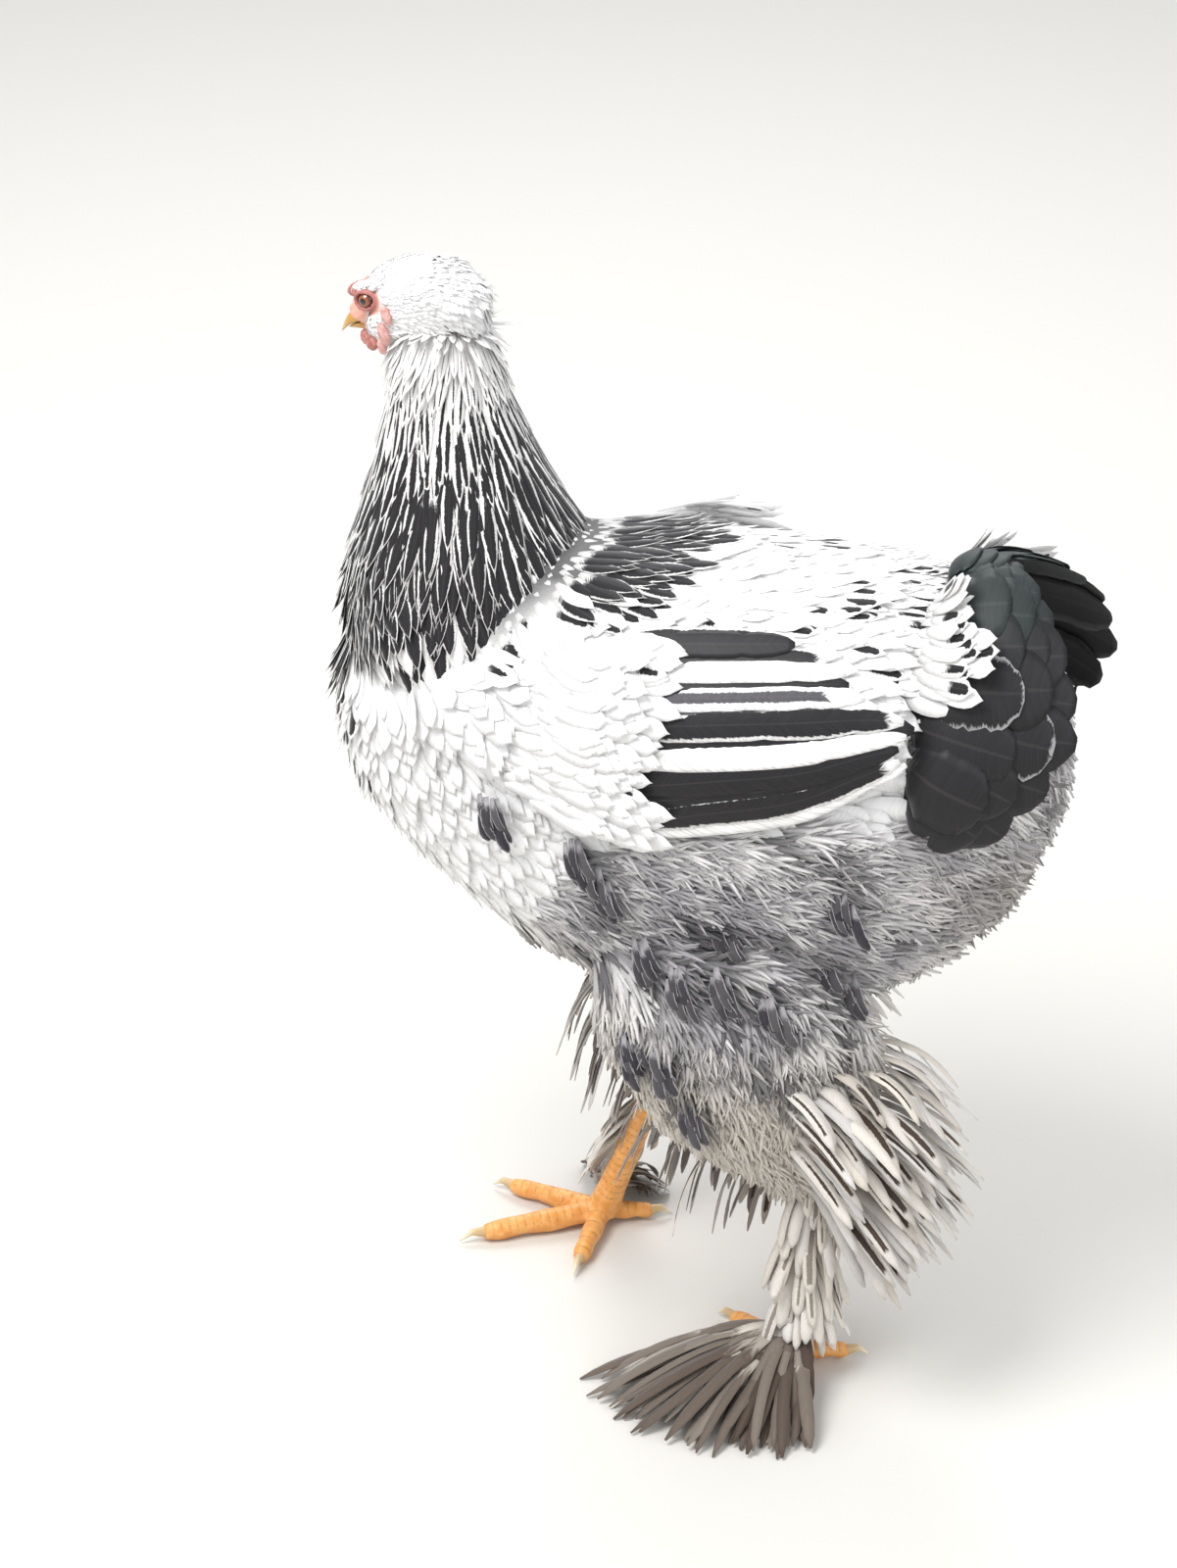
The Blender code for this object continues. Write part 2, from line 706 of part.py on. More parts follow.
def thigh_form(name, rows, grow=0.0, steps=9, count=14):
    rings = []
    top, low = rows[0].z * MM + grow, rows[-1].z * MM - grow
    for k in range(steps + 1):
        z = top + (low - top) * k / steps
        rings.append([thigh_point(rows, z, 360 * j / count, grow) for j in range(count)])
    return loft(name, rings)


def hock_feathers(leg):
    """Long stiff feathers that trail back and down from the thigh's rear, over the hock."""
    tiers = (
        # height of the root, number, length, fall
        (168, 3, 66, 24),
        (146, 4, 70, 34),
        (127, 3, 58, 40),
    )
    first = 38 if leg.sign > 0 else 58
    made = []
    for tier, (height, number, length, fall) in enumerate(tiers):
        for k in range(number):
            angle = first + 84 * k / (number - 1)
            root = thigh_point(leg.thigh, height * MM, angle, -9 * MM)
            out = Vector((math.cos(math.radians(angle)), math.sin(math.radians(angle)), 0))
            back = (out * 0.55 + Vector((0, 0.75, 0))).normalized()
            long = length * MM * DRAW.uniform(0.9, 1.08)
            tip = root + back * long - Vector((0, 0, fall * MM))
            middle = root.lerp(tip, 0.5) + Vector((0, 0, 7 * MM)) + out * 2 * MM
            up = (out + Vector((0, 0, 0.8))).normalized()
            made.append(free_vane(f"hock_{tier}_{k}", root, middle, tip, up, 11 * MM, columns=2, steps=3))
    return made


def shank_axis(leg, t):
    """The shank's middle line, from the hock at 0 to the foot at 1."""
    hock, foot = Vector(leg.hock) * MM, Vector(leg.foot) * MM
    return hock.lerp(foot + Vector((0, 0, 8 * MM)), t)


def shank_form(leg, name, grow=0.0):
    shares = (-0.16, 0.0, 0.15, 0.5, 0.85, 1.0)
    swell = (1.1, 1.3, 1.1, 0.95, 1.05, 1.25)
    points = [shank_axis(leg, t) for t in shares]
    return tube(name, points, [SHANK_RADIUS * MM * s + grow for s in swell], count=8)


def shank_feathers(leg):
    """Feathers that clothe the shank, pointing down and outwards, in tiers."""
    first, last = leg.cover
    made = []
    for tier, (start, length, flare) in enumerate(((0.2, 42, 15), (0.5, 40, 19))):
        number = 5 if leg.sign > 0 else 3
        for k in range(number):
            angle = first + (last - first) * (k + 0.35 * (tier % 2)) / (number - 0.6)
            c, s = math.cos(math.radians(angle)), math.sin(math.radians(angle))
            out = Vector((c, s, 0))
            root = shank_axis(leg, start) + out * 4.5 * MM
            long = length * MM * DRAW.uniform(0.9, 1.08)
            drop = (shank_axis(leg, 1) - shank_axis(leg, 0)).normalized()
            side = Vector((-s, c, 0)) * DRAW.uniform(-2, 2) * MM
            tip = root + drop * long + out * flare * MM + side
            middle = root.lerp(tip, 0.5) + out * 4.0 * MM
            made.append(free_vane(f"shank_{tier}_{k}", root, middle, tip, out, 9.5 * MM, columns=2, steps=2))
    return made


def fan_feathers(leg):
    """The fan of long feathers from the outer side of the foot, over the toes and out to the floor."""
    fan = leg.fan
    up = Vector((0, 0, 1))
    made = []
    for k in range(fan.number):
        s = k / (fan.number - 1)
        heading = math.radians(fan.first + (fan.last - fan.first) * s)
        out = Vector((math.sin(heading), -math.cos(heading), 0))
        long = (fan.long + (fan.short - fan.long) * s**1.5) * DRAW.uniform(0.94, 1.04) * MM
        layer = (k % 2) * 2.4 * MM
        root = Vector(leg.foot) * MM + out * 4 * MM + Vector((0, 0, 21 * MM + layer))
        tip = Vector(leg.foot) * MM + out * long + Vector((0, 0, 1.2 * MM + layer))
        middle = root.lerp(tip, 0.5) + Vector((0, 0, 8.5 * MM))
        made.append(free_vane(f"fan_{k}", root, middle, tip, up, 9.5 * MM, camber=0.05, steps=3))
    return made


def toe_line(leg, toe):
    """A toe's middle line, its direction, and where its claw begins."""
    heading = math.radians(getattr(toe, leg.side))
    out = Vector((math.sin(heading), -math.cos(heading), 0))
    foot = Vector(leg.foot) * MM
    lifts = (8.0, 7.6, 6.4, 6.6, 5.4, 5.4)
    shares = (0.0, 0.22, 0.45, 0.68, 0.88, 1.0)
    line = []
    for t, lift in zip(shares, lifts):
        line.append(foot + out * toe.length * t * MM + Vector((0, 0, lift * MM)))
    return line, out


def foot_form(leg, name, grow=0.0):
    """Pad and toes; the undersides are flats on the floor."""
    swell = (1.15, 1.0, 1.1, 0.9, 0.98, 0.72)
    pieces = []
    for toe in TOES:
        points, _ = toe_line(leg, toe)
        radii = [toe.radius * MM * s + grow for s in swell]
        pieces.append(tube(f"toe_{toe.name}", points, radii, floor=0.0))
    foot = Vector(leg.foot) * MM
    heights, widths = (0.0, 4.5, 9.0, 13.5, 16.5), (0.9, 1.05, 1.05, 0.85, 0.7)
    middle = [foot + Vector((0, 0, height * MM + (grow if height else 0))) for height in heights]
    pad = tube(name, middle, [PAD_RADIUS * MM * w + grow for w in widths], count=12)
    return fuse(pad, pieces)


def claws(leg):
    made = []
    for toe in TOES:
        points, out = toe_line(leg, toe)
        base = points[-1] + out * GAP
        line, radii = [], []
        for share, lift, radius in ((0.0, 0.0, 3.2), (0.12, 0.0, 3.0), (0.55, 0.6, 1.9), (1.0, -3.2, 0.4)):
            line.append(base + out * toe.claw * share * MM + Vector((0, 0, lift * MM)))
            radii.append(radius * MM)
        made.append(tube(f"claw_{leg.side}_{toe.name}", line, radii, count=6, floor=0.0))
    return made


def eye_point(sign):
    return Vector((EYE.x, EYE.y * sign, EYE.z))


def chin_fold(name, grow=0.0):
    return head_ball(name, (12, 0, -25), (10 + grow, 2.6 + grow, 6 + grow))


def cheek(name, sign, grow=0.0):
    return head_ball(name, (8, 15.8 * sign, -9), (11 + grow, 5 + grow, 8 + grow))


def lid_ring(sign, name):
    """The two lids as one almond ring round the eye, standing a little proud of the face."""
    centre = eye_point(sign) / MM
    points = []
    for k in range(8):
        turn = math.tau * k / 8
        f = centre.x + 6.1 * math.cos(turn)
        up = centre.z + 4.6 * math.sin(turn)
        points.append((f, centre.y + sign * (3.1 - 0.9 * math.cos(turn) ** 2), up))
    bm = bmesh.new()
    rings = []
    for f, left, up in points:
        away = Vector((f - centre.x, 0, up - centre.z)).normalized()
        ring = []
        for j in range(4):
            c, s = math.cos(math.tau * j / 4) * 1.4, math.sin(math.tau * j / 4) * 1.6
            ring.append(bm.verts.new(in_head(f + away.x * c, left + sign * s, up + away.z * c)))
        rings.append(ring)
    for ring, after in zip(rings, rings[1:] + rings[:1]):
        for j in range(4):
            n = (j + 1) % 4
            bm.faces.new((ring[j], ring[n], after[n], after[j]))
    return object_from(bm, name)


def head_piece():
    """Skull with brows, cheeks, lids, ear tufts and chin fold, and with sockets and the gape cut in."""
    head = head_form("head")
    extra = [chin_fold("chin")]
    cuts = []
    for sign in (1, -1):
        extra.append(head_ball("brow", (11, 16.2 * sign, 11), (9, 3.2, 3.0)))
        extra.append(cheek("cheek", sign))
        extra.append(lid_ring(sign, "lids"))
        cuts.append(head_ball("socket", eye_point(sign) / MM, [EYE_RADIUS / MM + 0.45] * 3, 8, 6))
        cuts.append(head_ball("gape", (25, 11.5 * sign, MOUTH - 0.6), (8, 3.0, 0.55), 8, 6))
    return carve(fuse(head, extra), cuts)


def beak_form(name, upper, grow=0.0):
    """One half of the beak. Both follow the gape, which bends down; the upper ends in a hook."""
    more = grow / MM
    rings = []
    last = BEAK_TIP if upper else BEAK_TIP - 5.5
    steps = 7
    for k in range(steps + 1):
        t = k / steps
        f = BEAK_ROOT + (last - BEAK_ROOT) * t
        bend = 5.0 * ((f - BEAK_ROOT) / (BEAK_TIP - BEAK_ROOT)) ** 2.6
        half = 7.6 * (1 - t**1.7) + 0.5 + more
        edge = MOUTH - bend + (0.18 - more if upper else more - 0.18)
        high = (7.8 * (1 - t**2.2) + 0.9 + 2 * more) if upper else -(4.2 * (1 - t**2) + 0.8 + 2 * more)
        turns = [math.pi * j / 8 for j in range(9)]
        rings.append([in_head(f, half * math.cos(a), edge + high * math.sin(a) ** 0.8) for a in turns])
    return loft(name, rings)


def beak_pieces():
    upper, lower = beak_form("beak_upper", True), beak_form("beak_lower", False)
    nostrils = [head_ball("nostril", (34.0, 6.2 * sign, -5.6), (2.0, 1.6, 0.8), 8, 6) for sign in (1, -1)]
    carve(upper, [head_form("cutter", GAP)] + nostrils)
    carve(lower, [head_form("cutter", GAP)])
    return upper, lower


def comb_piece():
    """A pea comb: three low ridges of beads, the middle one highest."""
    comb = head_ball("comb", (24, 0, 5.5), (12, 4.6, 5.0), 12, 8)
    beads = []
    for k in range(4):
        f = 16 + 5.2 * k
        top = 12.2 - 0.035 * (f - 15) ** 2 - 0.05 * (f - 15)
        beads.append(head_ball("bead", (f, 0, top), (2.6, 1.9, 3.0), 6, 4))
        if k < 3:
            for sign in (1, -1):
                beads.append(head_ball("bead", (f + 2.6, 3.9 * sign, top - 2.4), (2.4, 1.6, 2.4), 6, 4))
    return carve(fuse(comb, beads), [head_form("cutter", GAP), beak_form("cutter", True, GAP)])


# Folds of bare skin as rounded bulbs in the head's axes: centre on the left side, half widths.
WATTLE_BULBS = (
    ((28, 5.8, -17), (4.2, 2.5, 4.6)),
    ((26, 6.2, -20.5), (3.8, 2.4, 4.0)),
)
EARLOBE_BULBS = (
    ((1, 21.0, -4), (3.0, 2.4, 5.5)),
    ((6, 20.5, -13), (3.4, 2.6, 6.5)),
    ((10, 19.6, -19), (2.8, 2.3, 4.5)),
)


def face_bulbs(name, bulbs, sign, grow=0.0, segments=8, rings=6):
    """One fold of bare skin, made of its bulbs."""
    pieces = []
    for (f, left, up), radii in bulbs:
        pieces.append(head_ball(name, (f, left * sign, up), [r + grow for r in radii], segments, rings))
    return fuse(pieces[0], pieces[1:])


def face_cutters(grow=0.4):
    """What the neck's feathers keep clear of: cheeks, chin, wattles and earlobes."""
    made = [chin_fold("cutter", grow)]
    for sign in (1, -1):
        made.append(cheek("cutter", sign, grow))
        made.append(face_bulbs("cutter", WATTLE_BULBS, sign, 2 * grow, 6, 4))
        made.append(face_bulbs("cutter", EARLOBE_BULBS, sign, 2 * grow, 6, 4))
    return made


def build_body(collection, materials):
    finish(torso_form("torso"), materials["white_plumage"], collection)
    neck = fuse(neck_form("neck"), hackle_feathers())
    carve(neck, [trunk_form("cutter", GAP), head_form("cutter", GAP)] + face_cutters())
    finish(neck, materials["striped_hackle"], collection)
    tail_left = tail_feathers()
    tail_right = [mirrored(vane, "right") for vane in tail_left]
    tail = fuse(rump_form("tail"), tail_left + tail_right + tail_ridge())
    finish(tail, materials["black_plumage"], collection)
    wing = carve(fuse(wing_form("wing_left"), wing_feathers()), [trunk_form("cutter", GAP)])
    finish(mirrored(wing, "wing_right"), materials["white_plumage"], collection)
    finish(wing, materials["white_plumage"], collection)


def build_head(collection, materials):
    finish(head_piece(), materials["white_plumage"], collection, 60)
    for beak in beak_pieces():
        finish(beak, materials["horn"], collection)
    finish(comb_piece(), materials["red_skin"], collection, 60)
    for side, sign in (("left", 1), ("right", -1)):
        wattle = face_bulbs(f"wattle_{side}", WATTLE_BULBS, sign)
        carve(wattle, [head_form("cutter", GAP), beak_form("cutter", False, GAP), chin_fold("cutter", 0.4)])
        finish(wattle, materials["red_skin"], collection, 60)
        earlobe = face_bulbs(f"earlobe_{side}", EARLOBE_BULBS, sign)
        carve(earlobe, [head_form("cutter", GAP), cheek("cutter", sign, 0.3)])
        finish(earlobe, materials["red_skin"], collection, 60)
        eye = head_ball(f"eye_{side}", eye_point(sign) / MM, [EYE_RADIUS / MM] * 3, 10, 6)
        finish(eye, materials["eye"], collection, 80)


def build_leg(leg, collection, materials):
    thigh = fuse(thigh_form(f"thigh_{leg.side}", leg.thigh), hock_feathers(leg))
    carve(thigh, [trunk_form("cutter", GAP)])
    finish(thigh, materials["grey_fluff"], collection)
    shank = fuse(shank_form(leg, f"shank_{leg.side}"), shank_feathers(leg) + fan_feathers(leg))
    carve(shank, [thigh_form("cutter", leg.thigh, GAP), foot_form(leg, "cutter", GAP)])
    finish(shank, materials["yellow_scales"], collection)
    finish(foot_form(leg, f"foot_{leg.side}"), materials["yellow_scales"], collection)
    for claw in claws(leg):
        finish(claw, materials["horn"], collection)


def main():
    clear_scene()
    hen = new_collection("brahma_hen")
    materials = {name: new_material(name) for name in MATERIALS}
    build_body(hen, materials)
    build_head(hen, materials)
    for leg in LEGS:
        build_leg(leg, hen, materials)


main()
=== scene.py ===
import math

import bmesh
import bpy
import numpy as np
from mathutils import Matrix, Vector


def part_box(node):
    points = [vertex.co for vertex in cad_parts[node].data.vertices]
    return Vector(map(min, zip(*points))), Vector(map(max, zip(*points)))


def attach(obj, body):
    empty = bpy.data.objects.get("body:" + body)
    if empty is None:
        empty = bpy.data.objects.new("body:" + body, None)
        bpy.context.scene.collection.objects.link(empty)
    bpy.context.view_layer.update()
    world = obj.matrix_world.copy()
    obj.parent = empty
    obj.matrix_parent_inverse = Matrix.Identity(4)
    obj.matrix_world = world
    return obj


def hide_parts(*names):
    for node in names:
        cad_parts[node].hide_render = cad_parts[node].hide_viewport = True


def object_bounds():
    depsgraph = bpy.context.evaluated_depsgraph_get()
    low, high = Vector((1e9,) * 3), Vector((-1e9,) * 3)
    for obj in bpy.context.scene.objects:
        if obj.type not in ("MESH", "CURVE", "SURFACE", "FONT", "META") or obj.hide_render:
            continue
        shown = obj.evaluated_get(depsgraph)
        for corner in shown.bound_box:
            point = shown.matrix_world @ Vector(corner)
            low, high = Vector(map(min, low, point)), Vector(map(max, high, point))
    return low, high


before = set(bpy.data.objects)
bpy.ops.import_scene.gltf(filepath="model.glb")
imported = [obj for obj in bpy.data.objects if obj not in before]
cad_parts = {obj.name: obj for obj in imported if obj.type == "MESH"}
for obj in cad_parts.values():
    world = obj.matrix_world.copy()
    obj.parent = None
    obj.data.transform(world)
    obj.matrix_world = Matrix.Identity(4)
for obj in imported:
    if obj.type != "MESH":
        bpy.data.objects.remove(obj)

# Brahma hen, life size. Tables are in the bird's own millimetres: it faces -Y, its left side is +X.
cadBox = [list(corner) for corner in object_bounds()]
mm = 0.001
torsoLow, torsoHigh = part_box("torso")
birdShift = np.array(((torsoLow.x + torsoHigh.x) / 2, torsoLow.y + 164 * mm, 0.0))
draw = np.random.default_rng(11)

trunkRows = (  # y, back, belly, half width, height of the widest line
    (-164, 362, 328, 17, 345), (-156, 388, 306, 38, 345), (-138, 407, 279, 60, 345),
    (-106, 424, 250, 79, 346), (-60, 435, 221, 93, 347), (0, 440, 204, 100, 348),
    (60, 442, 199, 99, 350), (110, 442, 211, 90, 352), (150, 436, 237, 71, 353),
    (180, 417, 272, 49, 350), (198, 391, 312, 26, 350), (204, 370, 338, 12, 352),
)
neckRows = (  # z, x, y, half width, depth forward, depth backward
    (352, 0, -84, 68, 60, 80), (398, 0, -92, 72, 65, 79), (438, 0, -98, 57, 54, 57),
    (474, -1, -102, 41, 42, 41), (505, -2, -107, 31, 31, 33), (526, -3, -111, 27, 25, 31),
    (540, -3, -114, 19, 14, 28),
)
wingRows = (  # y, half width, half height, angles of top and bottom edge, depth
    (-104, 82, 88, 27, 17, 5), (-96, 89, 88, 33, 9, 12), (-70, 98, 92, 38, 0, 18),
    (-30, 103, 95, 44, -6, 18), (15, 105, 96, 49, -8, 16), (60, 104, 96, 51, -5, 14),
    (100, 97, 94, 52, -3, 11), (125, 89, 90, 50, 3, 6), (145, 82, 86, 45, 10, 3),
    (160, 77, 83, 34, 20, 3),
)
headRows = (  # forward, half width, up, down, middle
    (-37, 9, 6, 13, -4), (-32, 15, 11, 20, -2.5), (-21, 19.5, 16.5, 24, 0), (-8, 21.5, 19, 27, 0),
    (4, 20.5, 19.5, 27, 0), (14, 17.5, 17.5, 24, -1), (22, 13.5, 13.5, 19, -3),
    (28, 10, 8.5, 13, -5), (32, 7, 5, 8, -7),
)
thighRows = {  # z, x, y, half width across, half width along
    "left": (
        (296, 46, 34, 34, 52), (255, 52, 46, 44, 70), (215, 56, 58, 47, 76), (182, 55, 66, 43, 70),
        (155, 52, 72, 36, 58), (132, 48, 86, 27, 40), (114, 46, 96, 16, 19), (108, 46, 98, 8, 9),
    ),
    "right": (
        (296, -46, 16, 34, 52), (255, -52, 14, 44, 66), (215, -56, 10, 47, 68), (182, -55, 6, 43, 62),
        (155, -52, 2, 36, 52), (132, -49, 0, 27, 38), (114, -48, 0, 16, 19), (108, -48, 0, 8, 9),
    ),
}
tailTips = ((1.6, 178, 455), (15, 196, 448), (31, 213, 430), (45, 224, 400), (60, 212, 364), (69, 184, 336))
legs = {  # hock, foot, then each toe's heading: inner, middle, outer, hind
    "left": ((45, 99, 126), (42, 92, 0), (-27, 17, 60, 202)),
    "right": ((-48, -1, 126), (-48, -42, 0), (92, 34, -11, 205)),
}
toeSizes = (("inner", 44, 5.6, 12), ("middle", 66, 6.2, 14), ("outer", 56, 5.6, 12), ("hallux", 27, 5.0, 11))
squareness = 0.92
headCentre, headYaw, headPitch = Vector((-4, -126.5, 549.5)), 13.0, 19.0
eyePlace, eyeRadius = (12.5, 15.4, 4.5), 5.2


def ramp(x, a, b):
    t = np.clip((np.asarray(x, float) - a) / (b - a), 0, 1)
    return t * t * (3 - 2 * t)


def mixed(a, b, t):
    return np.asarray(a) + (np.asarray(b) - np.asarray(a)) * np.asarray(t)


def curveRows(rows, t):
    # smooth curve through the rows
    rows, t = np.asarray(rows, float), np.atleast_1d(np.asarray(t, float))
    place = np.clip(t, 0, 1) * (len(rows) - 1)
    i = np.minimum(place.astype(int), len(rows) - 2)
    u = (place - i)[:, None]
    before, a, b, after = (rows[np.clip(i + k, 0, len(rows) - 1)] for k in (-1, 0, 1, 2))
    bend = 2 * before - 5 * a + 4 * b - after + u * (3 * (a - b) + after - before)
    return a + 0.5 * u * (b - before + u * bend)


def lookup(rows):
    fine = curveRows(rows, np.linspace(0, 1, 500))
    fine = fine[np.argsort(fine[:, 0])]
    return lambda first: np.stack([np.interp(first, fine[:, 0], column) for column in fine.T[1:]], -1)


trunkAt, neckAt, wingAt = lookup(trunkRows), lookup(neckRows), lookup(wingRows)
thighAt = {side: lookup(rows) for side, rows in thighRows.items()}


def bent(c, power=squareness):
    return np.sign(c) * np.abs(c) ** power


def unit(v):
    return v / np.maximum(np.linalg.norm(v, axis=-1, keepdims=True), 1e-9)


def linear(hexColour):
    # sRGB hex to linear
    parts = [int(hexColour[k:k + 2], 16) / 255 for k in (0, 2, 4)]
    return [c / 12.92 if c <= 0.04045 else ((c + 0.055) / 1.055) ** 2.4 for c in parts]


def storeOn(mesh, key, values, kind="FLOAT_VECTOR", slot="vector"):
    mesh.attributes.new(key, kind, "POINT").data.foreach_set(slot, np.ravel(values).astype("f"))


def placed(name, mesh):
    # an object of the scene that shows the mesh
    made = bpy.data.objects.new(name, mesh)
    bpy.context.scene.collection.objects.link(made)
    return made


def meshObject(name, verts, faces, fields=None):
    # verts in bird millimetres; fields are vectors stored on the points
    mesh = bpy.data.meshes.new(name)
    verts = np.asarray(verts, float)
    mesh.from_pydata((verts * mm + birdShift).tolist(), [], faces)
    for key, values in (fields or {}).items():
        storeOn(mesh, key, values)
    return placed(name, mesh)


def gridFaces(rows, count, closed=True, start=0):
    faces = []
    for r in range(rows - 1):
        for k in range(count if closed else count - 1):
            n = (k + 1) % count
            a, b = start + r * count, start + (r + 1) * count
            faces.append((a + k, a + n, b + n, b + k))
    return faces


def tubeMesh(name, rings):
    # closed loft through a stack of rings
    rings = np.asarray(rings, float)
    rows, count = rings.shape[:2]
    faces = gridFaces(rows, count)
    verts = rings.reshape(-1, 3).tolist()
    for r, order in ((0, -1), (rows - 1, 1)):
        verts.append(rings[r].mean(0).tolist())
        ring = list(range(r * count, (r + 1) * count))
        faces += [(a, b, len(verts) - 1)[::order] for a, b in zip(ring, ring[1:] + ring[:1])]
    made = meshObject(name, verts, faces)
    outward(made.data)
    return made


def outward(mesh):
    bm = bmesh.new()
    bm.from_mesh(mesh)
    bmesh.ops.recalc_face_normals(bm, faces=bm.faces)
    if bm.calc_volume(signed=True) < 0:
        bmesh.ops.reverse_faces(bm, faces=bm.faces)
    bm.to_mesh(mesh)
    bm.free()


def shaped(obj, **modifiers):
    # adds the modifiers in order, takes the result as a plain mesh and removes them
    for kind, settings in modifiers.items():
        modifier = obj.modifiers.new(kind, kind.upper().rstrip("0123456789"))
        for key, value in settings.items():
            setattr(modifier, key, value)
    graph = bpy.context.evaluated_depsgraph_get()
    result = bpy.data.meshes.new_from_object(obj.evaluated_get(graph))
    obj.modifiers.clear()
    old, obj.data = obj.data, result
    bpy.data.meshes.remove(old)
    return obj


def joined(name, parts):
    bm = bmesh.new()
    for part in parts:
        bm.from_mesh(part.data)
        bpy.data.objects.remove(part)
    mesh = bpy.data.meshes.new(name)
    bm.to_mesh(mesh)
    bm.free()
    return placed(name, mesh)


def places(mesh):
    # points and normals, points in bird millimetres
    count = len(mesh.vertices)
    co, no = np.empty(count * 3), np.empty(count * 3)
    mesh.vertices.foreach_get("co", co)
    mesh.vertices.foreach_get("normal", no)
    return (co.reshape(-1, 3) - birdShift) / mm, no.reshape(-1, 3)


def setPlaces(mesh, points):
    mesh.vertices.foreach_set("co", (points * mm + birdShift).ravel())
    mesh.update()


def addNode(tree, kind, inputs=None, out=0, **settings):
    # adds a node with its settings, links and values, and gives one of its outputs
    node = tree.nodes.new(kind)
    for key, value in settings.items():
        setattr(node, key, value)
    for key, value in (inputs or {}).items():
        if isinstance(value, bpy.types.NodeSocket):
            tree.links.new(value, node.inputs[key])
        else:
            node.inputs[key].default_value = value
    return node.outputs[out] if node.outputs else node


# the forms under the plumage

def trunkPoint(y, angle, out=0.0):
    back, belly, half, widest = trunkAt(y).T
    c, s = np.cos(np.radians(angle)), np.sin(np.radians(angle))
    tall = np.where(s > 0, back - widest, widest - belly)
    return np.stack([(half + out) * bent(c), y + 0 * c, widest + (tall + out) * bent(s)], -1)


def trunkAngle(p):
    # the angle round the trunk, above its widest line, that a point stands at
    back, belly, half, widest = trunkAt(p[:, 1]).T
    up = np.abs(p[:, 2] - widest) / np.where(p[:, 2] > widest, back - widest, widest - belly)
    angle = np.degrees(np.arctan2(up ** (1 / squareness), (np.abs(p[:, 0]) / half) ** (1 / squareness)))
    return angle * np.sign(p[:, 2] - widest)


def wingPoint(y, lower, height):
    half, tall, top, bottom, _ = wingAt(y).T
    widest = trunkAt(y).T[3]
    turn = np.radians(top + (bottom - top) * lower)
    return np.stack([(half + height) * bent(np.cos(turn)), y + 0 * turn,
                     widest + (tall + height) * bent(np.sin(turn))], -1)


def trunkSkin(depth, steps=60, count=72):
    rings = []
    for t in np.linspace(0, 1, steps):
        y, back, belly, half, widest = curveRows(trunkRows, t)[0]
        a = np.linspace(0, math.tau, count, endpoint=False)
        tall = np.where(np.sin(a) > 0, back - widest, widest - belly) - depth
        rings.append(np.stack([max(half - depth, 3) * bent(np.cos(a)), a * 0 + y + depth * (1 - 2 * t),
                               widest + tall * bent(np.sin(a))], -1))
    return tubeMesh("trunk", rings)


def levelSkin(name, rows, depth, low, high, steps=40, count=56):
    # neck or thigh, as level rings
    at = lookup(rows)
    rings = []
    for z in np.linspace(low, high, steps):
        row = at(z)
        a = np.linspace(0, math.tau, count, endpoint=False)
        side, fore, aft = row[2] - depth, row[3] - depth, row[-1] - depth
        deep = np.where(np.sin(a) > 0, aft, fore)
        across, along = row[0] + max(side, 3) * np.cos(a), row[1] + np.maximum(deep, 3) * np.sin(a)
        rings.append(np.stack([across, along, a * 0 + z], -1))
    return tubeMesh(name, rings)


def wingSkin(sign, depth, steps=30, count=14):
    rings = []
    for k, y in enumerate(np.linspace(-102, 126, steps)):
        lower = np.linspace(0.03, 0.97, count)
        thick = wingAt(y)[4]
        ends = 1 - min(1, 0.35 + 4 * min(k, steps - 1 - k) / steps)
        edge = thick * 0.55 * np.abs(2 * lower - 1) ** 4 + 0.3 * thick * ends
        outer = wingPoint(y + 0 * lower, lower, -depth - edge)
        inner = wingPoint(y + 0 * lower, lower, -depth - thick - 4)
        rings.append(np.concatenate([outer, inner[::-1]]) * (sign, 1, 1))
    return tubeMesh("wing", rings)


headAxes = (
    Matrix.Translation(headCentre) @ Matrix.Rotation(math.radians(-headYaw), 4, "Z")
    @ Matrix.Rotation(math.radians(headPitch), 4, "X")
    @ Matrix(((0, 1, 0, 0), (-1, 0, 0, 0), (0, 0, 1, 0), (0, 0, 0, 1)))
)
headTurn, headBase = np.array(headAxes.to_3x3()), np.array(headAxes.translation)


def fromHead(p):
    return np.asarray(p, float) @ headTurn.T + headBase


def toHead(p):
    return (p - headBase) @ headTurn


def headSkin(depth, steps=50, count=60):
    rings = []
    for t in np.linspace(0, 1, steps):
        f, half, up, down, middle = curveRows(headRows, t)[0]
        a = np.linspace(0, math.tau, count, endpoint=False)
        tall = np.where(np.sin(a) > 0, up, down) - depth
        across, height = max(half - depth, 2) * bent(np.cos(a), 0.95), middle + tall * bent(np.sin(a), 0.95)
        rings.append(fromHead(np.stack([a * 0 + f + depth * (1 - 2 * t), across, height], -1)))
    return tubeMesh("head", rings)


def headBall(name, centre, radii, segments=32, rings=20):
    # an ellipsoid in the head's own axes
    bm = bmesh.new()
    bmesh.ops.create_uvsphere(bm, u_segments=segments, v_segments=rings, radius=1)
    verts = fromHead(np.array([v.co for v in bm.verts]) * radii + centre)
    faces = [[v.index for v in f.verts] for f in bm.faces]
    bm.free()
    made = meshObject(name, verts, faces)
    outward(made.data)
    return made


# skin: one closed form from the beak's root to the thighs
skinValues = {
    "bodyDepth": 5.0, "neckDepth": 3.0, "thighDepth": 9.0, "headDepth": 1.6,
    "bodyVoxel": 3.0, "headVoxel": 0.8,
}


